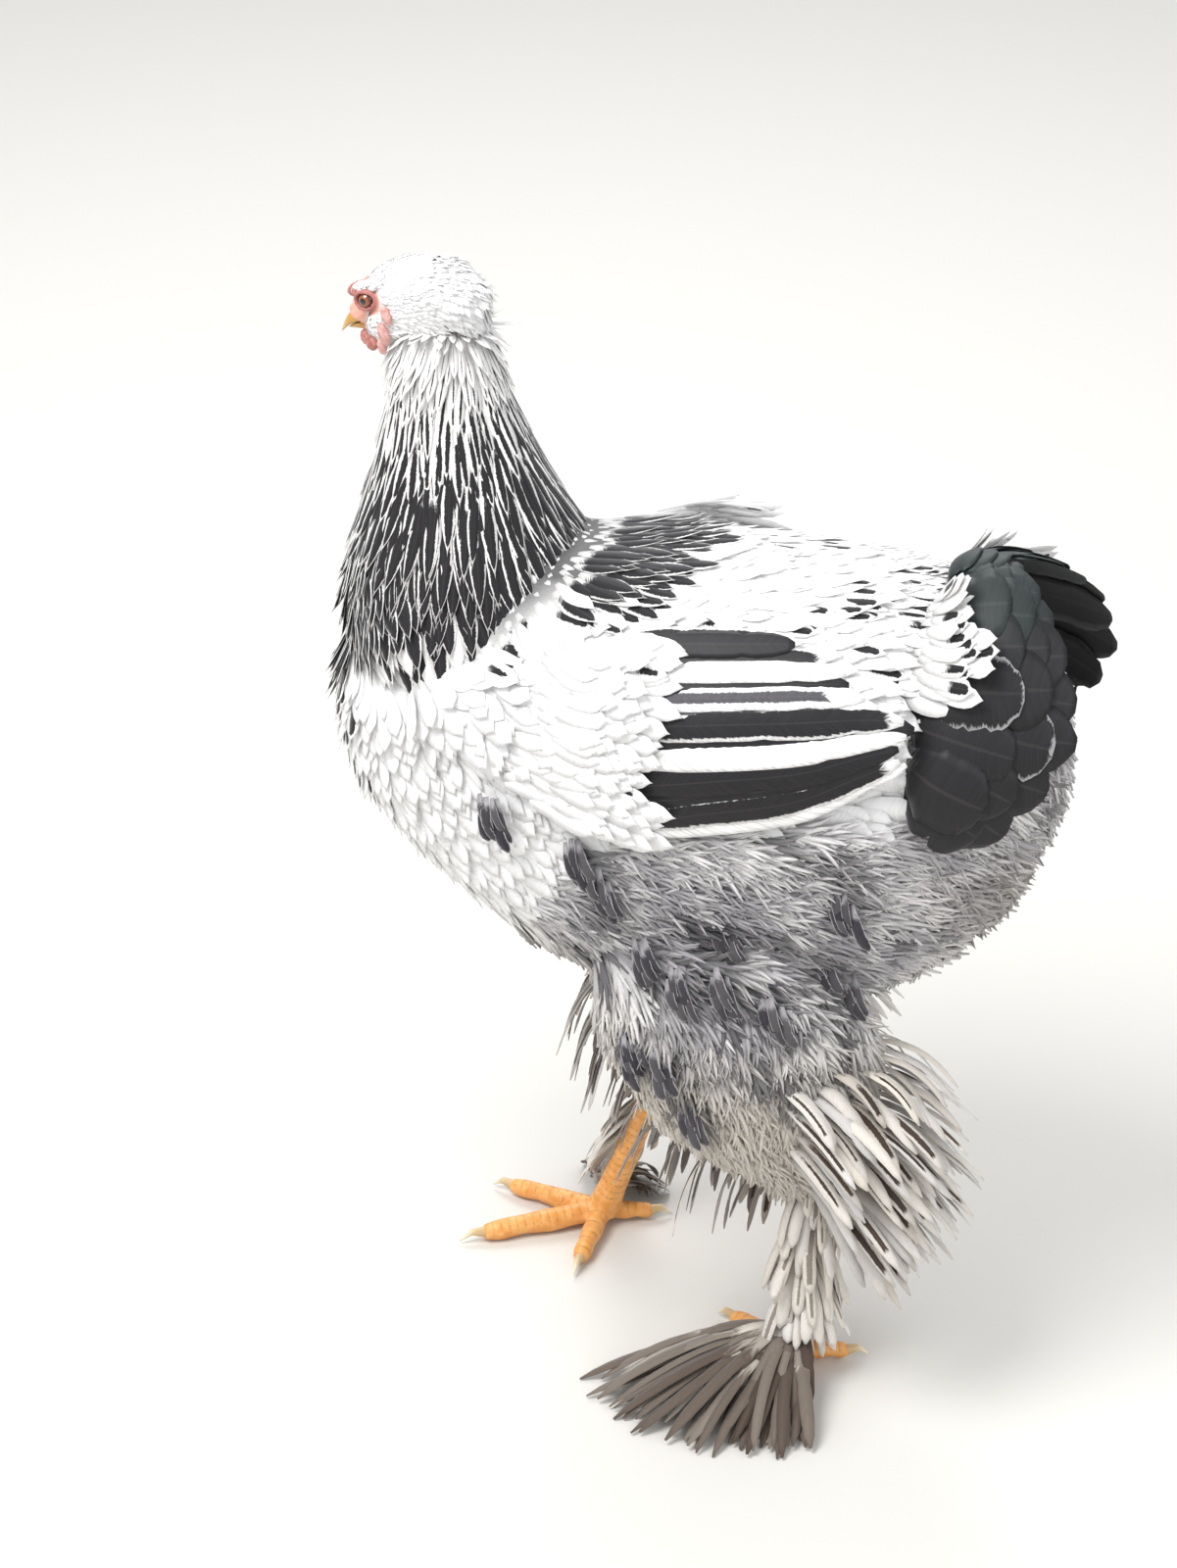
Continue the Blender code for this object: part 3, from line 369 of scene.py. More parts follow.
def grownTogether(obj, voxel, factor, iterations):
    # overlapping forms made one smooth closed skin
    return shaped(obj, remesh={"mode": "VOXEL", "voxel_size": voxel * mm},
                  smooth={"factor": factor, "iterations": iterations})


def buildBodySkin():
    v = skinValues
    parts = [trunkSkin(v["bodyDepth"]), levelSkin("neck", neckRows, v["neckDepth"], 356, 538)]
    for side, sign in (("left", 1), ("right", -1)):
        parts.append(wingSkin(sign, v["bodyDepth"]))
        rows = [(z, x, y, across, along, along) for z, x, y, across, along in thighRows[side]]
        parts.append(levelSkin("thigh", rows, v["thighDepth"], 112, 294))
    body = joined("bodySkin", parts)
    return grownTogether(body, v["bodyVoxel"], 0.6, 6)


def lidRing(sign):
    # both lids as one almond ring that stands a little proud of the face
    f, left, up = eyePlace
    rings = []
    for turn in np.linspace(0, math.tau, 40, endpoint=False):
        proud = left + 3.4 - 0.9 * math.cos(turn) ** 2
        middle = np.array((f + 5.7 * math.cos(turn), proud * sign, up + 4.1 * math.sin(turn)))
        away = unit(np.array((math.cos(turn), 0, math.sin(turn))))
        a = np.linspace(0, math.tau, 10, endpoint=False)
        rings.append(fromHead(middle + np.outer(np.cos(a), away) * 1.25 + np.outer(np.sin(a), (0, 1.25, 0))))
    rings = np.asarray(rings)
    faces = gridFaces(40, 10)
    faces += [(390 + k, 390 + (k + 1) % 10, (k + 1) % 10, k) for k in range(10)]
    made = meshObject("lids", rings.reshape(-1, 3), faces)
    outward(made.data)
    return made


def bareSkin(h):
    # how bare the face is at a point in the head's axes, from 0 to 1
    f, _, up = h.T
    eyeFar = np.hypot(f - eyePlace[0] + 1, (up - eyePlace[2] + 1) * 1.05)
    ring = 1 - ramp(eyeFar, 6.6, 8.4)
    lores = ramp(f + 0.3 * up, 15.0, 17.5) * (1 - ramp(up, 8.5, 11.5)) * ramp(up, -21, -16)
    return np.maximum(ring, lores)


def buildHeadSkin():
    parts = [headSkin(skinValues["headDepth"])]
    for sign in (1, -1):
        parts.append(headBall("brow", (11, 15.6 * sign, 11), (9, 2.6, 2.6)))
        parts.append(headBall("cheek", (8, 15.4 * sign, -9), (10.4, 4.2, 7.6)))
        parts.append(headBall("lore", (22, 10.4 * sign, -2), (7.5, 3.6, 6.0)))
        parts.append(lidRing(sign))
    parts.append(headBall("chin", (12, 0, -24.4), (9.4, 2.2, 5.6)))
    head = joined("headSkin", parts)
    grownTogether(head, skinValues["headVoxel"], 0.5, 2)
    points, normals = places(head.data)
    h = toHead(points)
    bare = bareSkin(h)
    for sign in (1, -1):  # real sockets: the skin is pushed back from the eyeball
        centre = np.array((eyePlace[0], eyePlace[1] * sign, eyePlace[2]))
        away = h - centre
        far = np.linalg.norm(away, axis=1)
        inner = (far < eyeRadius + 0.35) & (np.hypot(away[:, 0] / 5.2, away[:, 2] / 3.7) < 1.0)
        h[inner, 1] = (centre[1] + sign * (1.2 - 0.10 * (away[inner, 0] ** 2 + away[inner, 2] ** 2)))
        hit = ~inner & (far < eyeRadius + 0.25)
        h[hit] = centre + unit(away[hit]) * (eyeRadius + 0.25)
    # the gape runs back into the face
    mouthLine = ramp(h[:, 0], 17, 21) * np.exp(-((h[:, 2] + 10.1) / 0.7) ** 2)
    folds = np.sin(h[:, 2] * 1.9 + h[:, 0] * 0.7) * np.exp(-((h[:, 0] - 20) / 9) ** 2) * 0.16
    fromEye, aboveEye = h[:, 0] - eyePlace[0], h[:, 2] - eyePlace[2]
    wrinkle = 0.13 * np.sin(np.hypot(fromEye, aboveEye * 1.2) * 2.6)
    wrinkle = wrinkle * np.exp(-((np.hypot(fromEye, aboveEye) - 8.0) / 2.2) ** 2)
    points = fromHead(h) + normals * (bare * (folds + wrinkle) - 0.7 * mouthLine)[:, None]
    setPlaces(head.data, points)
    return head


def tubeAlong(points, radii, count=12, floor=None):
    # round tube along points, flattened where it would pass below the floor
    points = np.asarray(points, float)
    rings = []
    for k, point in enumerate(points):
        ahead = unit(points[min(k + 1, len(points) - 1)] - points[max(k - 1, 0)])
        across = unit(np.cross(ahead, (0, 0, 1)))
        face = np.cross(across, ahead)
        a = np.linspace(0, math.tau, count, endpoint=False)[:, None]
        ring = point + (np.cos(a) * across + np.sin(a) * face) * radii[k]
        if floor is not None:
            ring[:, 2] = np.maximum(ring[:, 2], floor)
        rings.append(ring)
    return tubeMesh("tube", rings)


def toeLine(side, k, steps=24):
    _, foot, headings = legs[side]
    heading, length = math.radians(headings[k]), toeSizes[k][1]
    out = np.array((math.sin(heading), -math.cos(heading), 0))
    shares = (0.0, 0.22, 0.45, 0.68, 0.88, 1.0)
    t = np.linspace(0, 1, steps)
    lift = np.interp(t, shares, (8.0, 7.6, 6.4, 6.6, 5.4, 5.4))
    swell = np.interp(t, shares, (1.15, 1.0, 1.1, 0.9, 0.98, 0.72))
    line = np.asarray(foot) + out * (length * t)[:, None] + np.outer(lift, (0, 0, 1))
    return line, swell * toeSizes[k][2], out


def shankLine(side, t):
    hock, foot, _ = legs[side]
    end = np.asarray(foot) + (0, 0, 8)
    return np.asarray(hock) + (end - np.asarray(hock)) * np.atleast_1d(t)[:, None]


def grooves(s, pitch, sharp=0.2):
    # 0 on a scute, 1 in the groove between two
    wave = np.abs((s / pitch) % 1 - 0.5) * 2
    return ramp(wave, 1 - sharp, 1)


legValues = {"voxel": 0.95, "shankRadius": 7.6, "scute": 4.4, "scuteDepth": 0.45}


def buildLeg(side):
    # shank and toes as one scaly form, its undersides flat on the floor
    v = legValues
    shares = np.linspace(-0.12, 1.0, 16)
    swell = np.interp(shares, (-0.16, 0.0, 0.15, 0.5, 0.85, 1.0), (1.1, 1.3, 1.1, 0.95, 1.05, 1.25))
    parts = [tubeAlong(shankLine(side, shares), swell * (v["shankRadius"] - 0.5), 20)]
    foot = np.asarray(legs[side][1])
    pad = [foot + (0, 0, h) for h in (0.4, 4.5, 9, 13.5, 16.5)]
    parts.append(tubeAlong(pad, [11 * w - 0.4 for w in (0.9, 1.05, 1.05, 0.85, 0.7)], 24))
    for k in range(4):
        points, radii, _ = toeLine(side, k)
        parts.append(tubeAlong(points, radii - 0.4, 18, 0.4))
    made = joined("legSkin_" + side, parts)
    grownTogether(made, v["voxel"], 0.5, 3)
    p, n = places(made.data)
    best, along = np.full(len(p), 1e9), np.zeros(len(p))
    lines = [toeLine(side, k, 80)[:2] for k in range(4)]
    lines.append((shankLine(side, np.linspace(-0.1, 1, 80)), np.full(80, v["shankRadius"])))
    for points, radii in lines:
        far = np.linalg.norm(p[:, None] - points[None], axis=2)
        near = far.argmin(1)
        gap = far[np.arange(len(p)), near] - radii[near]
        ahead = unit(points[-1] - points[0])
        nearer = gap < best
        best = np.where(nearer, gap, best)
        along = np.where(nearer, (p - points[0]) @ ahead, along)
    upper = np.where(p[:, 2] > 20, 1.0, ramp(n[:, 2], 0.05, 0.5))
    cut = grooves(along, v["scute"]) * upper
    pebbles = np.sin(p[:, 0] * 2.6) * np.sin(p[:, 1] * 2.6 + 1) * np.sin(p[:, 2] * 2.6) * 0.18 * (1 - upper)
    p = p - n * (v["scuteDepth"] * cut - pebbles)[:, None]
    p[:, 2] = np.maximum(p[:, 2], 0.3)
    setPlaces(made.data, p)
    storeOn(made.data, "groove", cut, "FLOAT", "value")
    return made


def buildClaw(side, k):
    points, _, out = toeLine(side, k)
    t = np.linspace(0, 1, 12)
    lift = np.interp(t, (0, 0.12, 0.55, 1), (0, 0, 0.6, -3.2)) + 0.5 * np.sin(np.pi * t)
    radii = np.interp(t, (0, 0.12, 0.55, 1), (3.0, 2.8, 1.8, 0.35))
    line = points[-1] - out * 1.2 + np.outer(t * (toeSizes[k][3] + 1.0), out) + np.outer(lift, (0, 0, 1))
    return tubeAlong(line, radii, 16, 0.15)


def buildBeak(upper, steps=26, count=20):
    rings = []
    last = 46.6 if upper else 41.2
    for t in np.linspace(0, 1, steps):
        f = 23.5 + (last - 23.5) * t
        bend = 5.0 * (max(f - 25, 0) / 22) ** 2.6
        half = 7.4 * (1 - t ** 1.7) + 0.4
        edge = -9.5 - bend + (0.14 if upper else -0.14)
        high = 7.6 * (1 - t ** 2.2) + 0.7 if upper else -(4.0 * (1 - t ** 2) + 0.6)
        a = np.linspace(0, math.pi, count)
        ridge = 0.35 * np.exp(-((a - math.pi / 2) / 0.28) ** 2) * (1 - t) * np.sign(high)
        height = edge + high * np.sin(a) ** 0.8 + ridge
        rings.append(fromHead(np.stack([a * 0 + f, half * np.cos(a), height], -1)))
    made = tubeMesh("beakHorn_upper" if upper else "beakHorn_lower", rings)
    if upper:  # nostrils sunk under a small flap
        shaped(made, subsurf={"levels": 1, "render_levels": 1})
        p, n = places(made.data)
        h = toHead(p)
        for sign in (1, -1):
            d = (h - (33.5, 5.9 * sign, -5.4)) / (2.4, 3.0, 0.85)
            p = p - n * (1.1 * np.exp(-np.sum(d * d, 1) * 1.2))[:, None]
            d = (h - (33.2, 5.9 * sign, -3.9)) / (3.2, 3.0, 0.9)
            p = p + n * (0.45 * np.exp(-np.sum(d * d, 1)))[:, None]
        setPlaces(made.data, p)
    return made


def fleshy(name, balls, voxel=0.4, pebble=0.16):
    # bare red skin: rounded bulbs grown together, with a pebbled surface
    made = joined(name, [headBall("ball", centre, radii, 20, 14) for centre, radii in balls])
    grownTogether(made, voxel, 0.5, 3)
    p, n = places(made.data)
    h = toHead(p)
    bumps = np.sin(h[:, 0] * 2.3 + 1.3 * np.sin(h[:, 2] * 1.1)) * np.sin(h[:, 1] * 2.7 + h[:, 2] * 0.9)
    bumps = bumps * np.sin(h[:, 2] * 2.1)
    setPlaces(made.data, p + n * (pebble * bumps)[:, None])
    return made


def combBalls():
    balls = [((24, 0, 5.5), (11.6, 4.2, 4.6))]
    for k in range(7):  # three low rows of peas, the middle one highest
        f = 15 + 2.9 * k
        top = 10.6 - 0.035 * (f - 15) ** 2 - 0.05 * (f - 15)
        balls.append(((f, 0.3 * (-1) ** k, top - 0.2), (1.9, 1.7, 2.8)))
        if 0 < k < 6:
            balls += [((f + 0.6, 3.7 * sign, top - 2.6), (1.8, 1.45, 2.2)) for sign in (1, -1)]
    return balls


wattleBalls = (((28, 5.8, -17), (3.9, 2.2, 4.3)), ((26, 6.2, -20.5), (3.5, 2.1, 3.7)))
earlobeBalls = (
    ((1, 20.9, -4), (2.7, 2.1, 5.2)), ((6, 20.4, -13), (3.1, 2.3, 6.2)), ((10, 19.5, -19), (2.5, 2.0, 4.2)),
)


def buildEye(sign):
    # eyeball with a bulging clear front; 'ring' tells the distance from the pupil's centre
    bm = bmesh.new()
    bmesh.ops.create_uvsphere(bm, u_segments=48, v_segments=40, radius=1)
    unitPoints = np.array([v.co for v in bm.verts])
    faces = [[v.index for v in f.verts] for f in bm.faces]
    bm.free()
    unitPoints = unitPoints[:, [0, 2, 1]]
    front = np.maximum(unitPoints[:, 1] * sign, 0)
    off = np.hypot(unitPoints[:, 0], unitPoints[:, 2])
    bulge = 0.06 * (1 - ramp(off, 0.25, 0.75)) * (front > 0)
    centre = (eyePlace[0], eyePlace[1] * sign, eyePlace[2])
    h = unitPoints * (eyeRadius - 0.25) * (1 + bulge)[:, None] + centre
    made = meshObject("eyeball_left" if sign > 0 else "eyeball_right", fromHead(h), faces)
    outward(made.data)
    ring = np.where(front > 0, off, 2.0)
    storeOn(made.data, "ring", ring, "FLOAT", "value")
    return made


# markings: colours and patterns of the plumage at any place of the body

tones = {  # sRGB
    "white": "f2f1f0", "cream": "ddd5c8", "lace": "e2e0dd", "greyLace": "b4b2b3", "black": "201e20",
    "slate": "2b292f", "fluff": "a8a5a8", "paleFluff": "e2dfdd", "darkFluff": "5c595a", "teal": "262d2d",
    "face": "f0b39e", "flush": "cf8d7c", "maroon": "8a4048", "brown": "4a3c33", "warmGrey": "8d8378",
}
tone = {key: np.array(linear(value)) for key, value in tones.items()}
capeBorder = ((-133, 42), (-110, 37), (-86, 46), (-58, 41), (-37, 60), (-15, 56), (-2, 68), (7, 79), (12, 97))
slateSpots = (
    (86, 64, 272), (72, 88, 276), (97, 44, 246), (70, 108, 257), (84, 123, 299), (65, 120, 240), (76, 1, 283),
    (93, 24, 256), (93, 21, 200), (97, 37, 198), (91, 92, 238), (91, 50, 169), (95, 67, 248), (99, -6, 310),
    (97, 7, 295), (98, -50, 326),
)


def wobble(p, scale, seed=0.0):
    # smooth noise from -1 to 1
    q = np.asarray(p) / scale
    value = np.zeros(len(q))
    for k, turn in enumerate(((1.0, 0.7, 0.4), (-0.6, 1.1, 0.8), (0.5, -0.9, 1.2), (1.3, 0.2, -0.8))):
        along = q @ np.array(turn) * (1 + 0.37 * k)
        value += np.sin(along + seed + 1.9 * k) * np.cos(q[:, k % 3] * 0.8 + seed * 0.7)
    return value / 2.4


flankLine = (  # y, height
    (-120, 205), (-86, 228), (-48, 262), (1, 330), (17, 331), (47, 332), (94, 336), (139, 337), (160, 345),
    (178, 405), (200, 425),
)


def flankBorder(y):
    # height of the line between the white sides and the grey fluff below
    return np.interp(y, *zip(*flankLine))


# height, and how wide the dark centre of a hackle feather is there
hackleCentres = ((438, 0.88), (460, 0.78), (480, 0.62), (500, 0.42), (520, 0.22), (536, 0.06))


def coatAt(p, n):
    # lie, size and colours of the feather that would grow at each place
    count = len(p)
    x, y, z = p.T
    angle = trunkAngle(p)
    neckAxis = neckAt(np.clip(z, 352, 540))
    outward = unit(np.stack([x - neckAxis[:, 0], y - neckAxis[:, 1], 0 * x], -1))
    onNeck = ramp(z, 425, 455) * (y < -20)
    border = np.interp(y, *zip(*capeBorder)) + 3 * wobble(p, 9)
    inCape = np.maximum(onNeck, ramp(angle - border, -2, 2) * (1 - ramp(y, 4, 16)) * (z > 350))
    lowLimit = np.where(x > 0, 262, 258)
    onThigh = 1 - ramp(z, lowLimit - 34, lowLimit)
    down = np.array((0, 0, -1.0))
    # the lie: down and outward on neck and cape, backward on the trunk, down on the thighs
    lieNeck = down + 0.62 * outward * (1 - onNeck)[:, None] + 0.1 * outward
    lieCape = unit(np.stack([x * 0.55, np.maximum(y + 95, 6), 0 * x], -1)) + down * 0.55
    breastward = 1 - ramp(y, -150, -20)
    sag = 0.22 + 1.1 * breastward
    lieTrunk = np.stack([x * 0, 1 + x * 0, -sag - 0.5 * ramp(y, 120, 190)], -1)
    lieThigh = np.stack([x * 0, 0.35 + x * 0, -1 + x * 0], -1)
    lie = mixed(lieTrunk, lieCape, inCape[:, None])
    lie = mixed(lie, lieNeck, onNeck[:, None])
    lie = mixed(lie, lieThigh, onThigh[:, None])
    lie += 0.13 * np.stack([wobble(p, 14, 1), wobble(p, 15, 4), wobble(p, 13, 9)], -1)
    lie = unit(lie - n * np.sum(lie * n, -1, keepdims=True))
    # sizes: half width, length, lift in degrees
    hackle = np.stack([np.interp(z, (430, 470, 510, 540), (4.4, 3.9, 3.0, 2.2)),
                       np.interp(z, (430, 470, 510, 540), (46, 42, 30, 18)), 2.6 + 0 * z], -1)
    cape = np.stack([5.4 + 0 * z, 33 + 0 * z, 3.2 + 0 * z], -1)
    bodySize = np.stack([6.2 + 0 * z, 28 + 0 * z, 2.0 + 0 * z], -1)
    saddle = ramp(angle, 30, 50) * ramp(y, 10, 40)
    bodySize = mixed(bodySize, (4.6, 36, 2.2), saddle[:, None])
    under = 1 - ramp(z + 7 * wobble(p, 11, 3), flankBorder(y) - 4, flankBorder(y) + 14)
    bodySize = mixed(bodySize, (8.4, 34, 6.0), (under * ramp(y, -110, -40))[:, None])
    size = mixed(bodySize, cape, inCape[:, None])
    size = mixed(size, hackle, onNeck[:, None])
    size = mixed(size, (8.0, 32, 6.0), onThigh[:, None])
    # colours
    light = np.tile(tone["white"], (count, 1))
    light = mixed(light, tone["lace"], (inCape * 0.8)[:, None])
    pale = ramp(wobble(p, 15, 2) + 0.8 * draw.uniform(-1, 1, count), -0.6, 0.5)
    fluffTone = mixed(tone["fluff"], tone["paleFluff"], pale[:, None])
    rear = 0.45 * ramp(y, 120, 175) * (1 - ramp(z, 300, 340))
    fluffTone = mixed(fluffTone, tone["warmGrey"], rear[:, None])
    fluffTone = mixed(fluffTone, tone["cream"], ((1 - ramp(z, 185, 250)) * 0.85)[:, None])
    fore = (1 - ramp(z, 235, 290)) * (1 - ramp(y, -100, -10)) * 0.7
    fluffTone = mixed(fluffTone, tone["cream"], fore[:, None])
    slate, seen = np.zeros(count), p + lie * 22  # where the open part of each tuft lies
    for spot in slateSpots:
        for sign in (1, -1):
            away = (seen - np.array(spot) * (sign, 1, 1)) / (13, 14, 13)
            slate = np.maximum(slate, np.exp(-np.sum(away ** 2, 1) ** 1.7))
    slate = np.maximum(slate, 0.8 * ramp(wobble(seen, 9, 7), 0.35, 0.7) * ramp(z, 150, 190))
    fluffTone = mixed(fluffTone, tone["slate"], slate[:, None] * 0.92)
    soft = np.maximum(under, onThigh)
    light = mixed(light, fluffTone, soft[:, None])
    # marks: centre half width, where along the feather it begins, share of the feathers that carry it
    front = ramp(-outward[:, 1], 0.45, 0.9) * onNeck
    centre = np.interp(z, *zip(*hackleCentres)) * (1 - 0.3 * front)
    centre = np.where(onNeck > 0.02, centre, np.interp(angle - border, (0, 12), (0.62, 0.82)))
    odds = inCape * np.where(onNeck > 0.3, 1 - 0.35 * front, np.interp(angle - border, (-2, 14), (0.45, 1.0)))
    flecks = np.exp(-((np.abs(x) - 18) / 26) ** 2) * (1 - ramp(y, -138, -112)) * ramp(z, 290, 340) * 0.5
    dashes = (0.10 + 0.28 * ramp(y, 95, 140)) * ramp(angle, 34, 55) * ramp(y, 8, 26) * ramp(z, 350, 360)
    shoulder = 0.12 * np.exp(-((angle - border + 10) / 8) ** 2) * (1 - ramp(y, 0, 30))
    plain = np.maximum.reduce([flecks, dashes, shoulder]) * (1 - soft)
    laced = inCape > 0.4
    odds = np.where(laced, odds, plain)
    centre = np.where(laced, centre, 0.5)
    start = np.where(laced, np.where(onNeck > 0.3, 0.06, 0.15), 0.42)
    mark = np.stack([centre, start, odds], -1)
    dark = np.tile(tone["black"], (count, 1))
    return {"lie": lie, "size": size, "light": light, "dark": dark, "mark": mark}


def vaneGrid(u, v):
    # places across and along a vane
    return np.stack([u + 0 * v[:, None], v[:, None] + 0 * u, 0 * (v[:, None] + u)], -1).reshape(-1, 3)


# template feathers, one millimetre of half width and length each, growing along +Y

def templateFeather(name, outline, camber, curl, splits=(), columns=3, rows=8, thick=0.035):
    # thin closed vane: outline gives the half width along it, splits the notches in its edge
    v = np.linspace(0, 1, rows)
    half = np.interp(v, *zip(*outline))
    for at, depth in splits:
        half *= 1 - depth * np.exp(-((v - at) / 0.06) ** 2)
    u = np.linspace(-1, 1, columns)
    top = np.stack([half[:, None] * u, v[:, None] + 0 * u - 0.07 * np.abs(u) * v[:, None] ** 2,
                    curl * v[:, None] ** 2 - camber * half[:, None] * u ** 2 + thick], -1)
    under = top[:, [0, -1]].copy()
    under[..., 2] -= thick * 1.6
    verts = np.concatenate([top.reshape(-1, 3), under.reshape(-1, 3)])
    faces, base = gridFaces(rows, columns, False), rows * columns
    for r in range(rows - 1):
        a, b = base + 2 * r, base + 2 * r + 2
        left, right = r * columns, r * columns + columns - 1
        faces += [(a, b, b + 1, a + 1), (a, left, left + columns, b), (right, a + 1, b + 1, right + columns)]
    end, low = (rows - 1) * columns, base + 2 * rows
    faces.append(tuple(range(columns)) + (base + 1, base))
    faces.append(tuple(range(end, end + columns))[::-1] + (low - 2, low - 1))
    below = np.stack([np.tile((-1, 1), rows), np.repeat(v, 2), np.zeros(2 * rows)], -1)
    uv = np.concatenate([vaneGrid(u, v), below])
    return template(name, verts, faces, uv)


def templateDown(name, strands, spread, curl, seed, rows=4):
    # loose tuft: thin flat strands that part from one root
    dice = np.random.default_rng(seed)
    verts, faces, uv = [], [], []
    for k in range(strands):
        turn = spread * (2 * k / (strands - 1) - 1) + dice.uniform(-0.12, 0.12)
        long = dice.uniform(0.72, 1.0) * (1 - 0.18 * abs(turn) / spread)
        rise = dice.uniform(-0.6, 1.0) * curl
        sway = dice.uniform(-0.9, 0.9)
        start = len(verts)
        for r in range(rows):
            v = r / (rows - 1)
            aside = math.sin(turn * (0.4 + 0.6 * v)) * 2.6 * v + sway * v * v * 0.5
            centre = np.array((aside, long * v * math.cos(turn * 0.6), rise * v * v + 0.12 * v))
            wide = (0.2, 0.3, 0.22, 0.03)[r]
            for dx, dz in ((-wide, 0), (0, 0.11), (wide, 0)):
                verts.append(centre + (dx, 0, dz))
                uv.append((0.55 * turn / spread + 0.4 * dx, v, 0))
        faces += gridFaces(rows, 3, True, start)
        faces += [(start, start + 1, start + 2), tuple(start + 3 * (rows - 1) + i for i in (2, 1, 0))]
    return template(name, np.array(verts), faces, np.array(uv))


def template(name, verts, faces, uv):
    mesh = bpy.data.meshes.new(name)
    mesh.from_pydata(verts.tolist(), [], faces)
    storeOn(mesh, "vaneUv", uv)
    outward(mesh)
    mesh.shade_smooth()
    return bpy.data.objects.new(name, mesh)


def templateSet(name, members):
    group = bpy.data.collections.new(name)
    for member in members:
        group.objects.link(member)
    return group


round1 = ((0, 0.30), (0.18, 0.66), (0.45, 0.95), (0.7, 1.0), (0.86, 0.82), (0.95, 0.5), (1, 0.16))
round2 = ((0, 0.34), (0.2, 0.7), (0.5, 1.0), (0.74, 0.94), (0.9, 0.66), (1, 0.22))
lance1 = ((0, 0.34), (0.2, 0.78), (0.42, 1.0), (0.66, 0.86), (0.86, 0.5), (1, 0.07))
lance2 = ((0, 0.3), (0.25, 0.85), (0.5, 1.0), (0.72, 0.78), (0.9, 0.4), (1, 0.05))
feathers = {
    "body": templateSet("bodyFeathers", [
        templateFeather("body1", round1, 0.10, 0.1, ((0.62, 0.1),)),
        templateFeather("body2", round2, 0.13, -0.25, ((0.8, 0.16),)),
        templateFeather("body3", round1, 0.11, 0.25, ((0.5, 0.12), (0.86, 0.1))),
        templateFeather("body4", round2, 0.08, -0.1),
    ]),
    "hackle": templateSet("hackleFeathers", [
        templateFeather("hackle1", lance1, 0.14, -0.1),
        templateFeather("hackle2", lance2, 0.12, -0.4, ((0.6, 0.12),)),
        templateFeather("hackle3", lance1, 0.16, 0.2, ((0.8, 0.2),)),
    ]),
    "down": templateSet("downTufts", [
        templateDown("down1", 8, 0.5, 0.35, 1), templateDown("down2", 7, 0.62, 0.5, 2),
        templateDown("down3", 9, 0.56, 0.4, 3), templateDown("down4", 8, 0.44, 0.3, 4),
    ]),
    "cap": templateSet("capFeathers", [
        templateFeather("cap1", round2, 0.12, -0.1, rows=5),
        templateFeather("cap2", lance1, 0.12, 0.0, rows=5),
    ]),
}


# tilts in degrees, yaw and roll in radians, grow as a share
scatterShape = {"lift": (-1.0, 1.6), "yaw": 0.13, "roll": 0.06, "grow": (0.84, 1.14)}


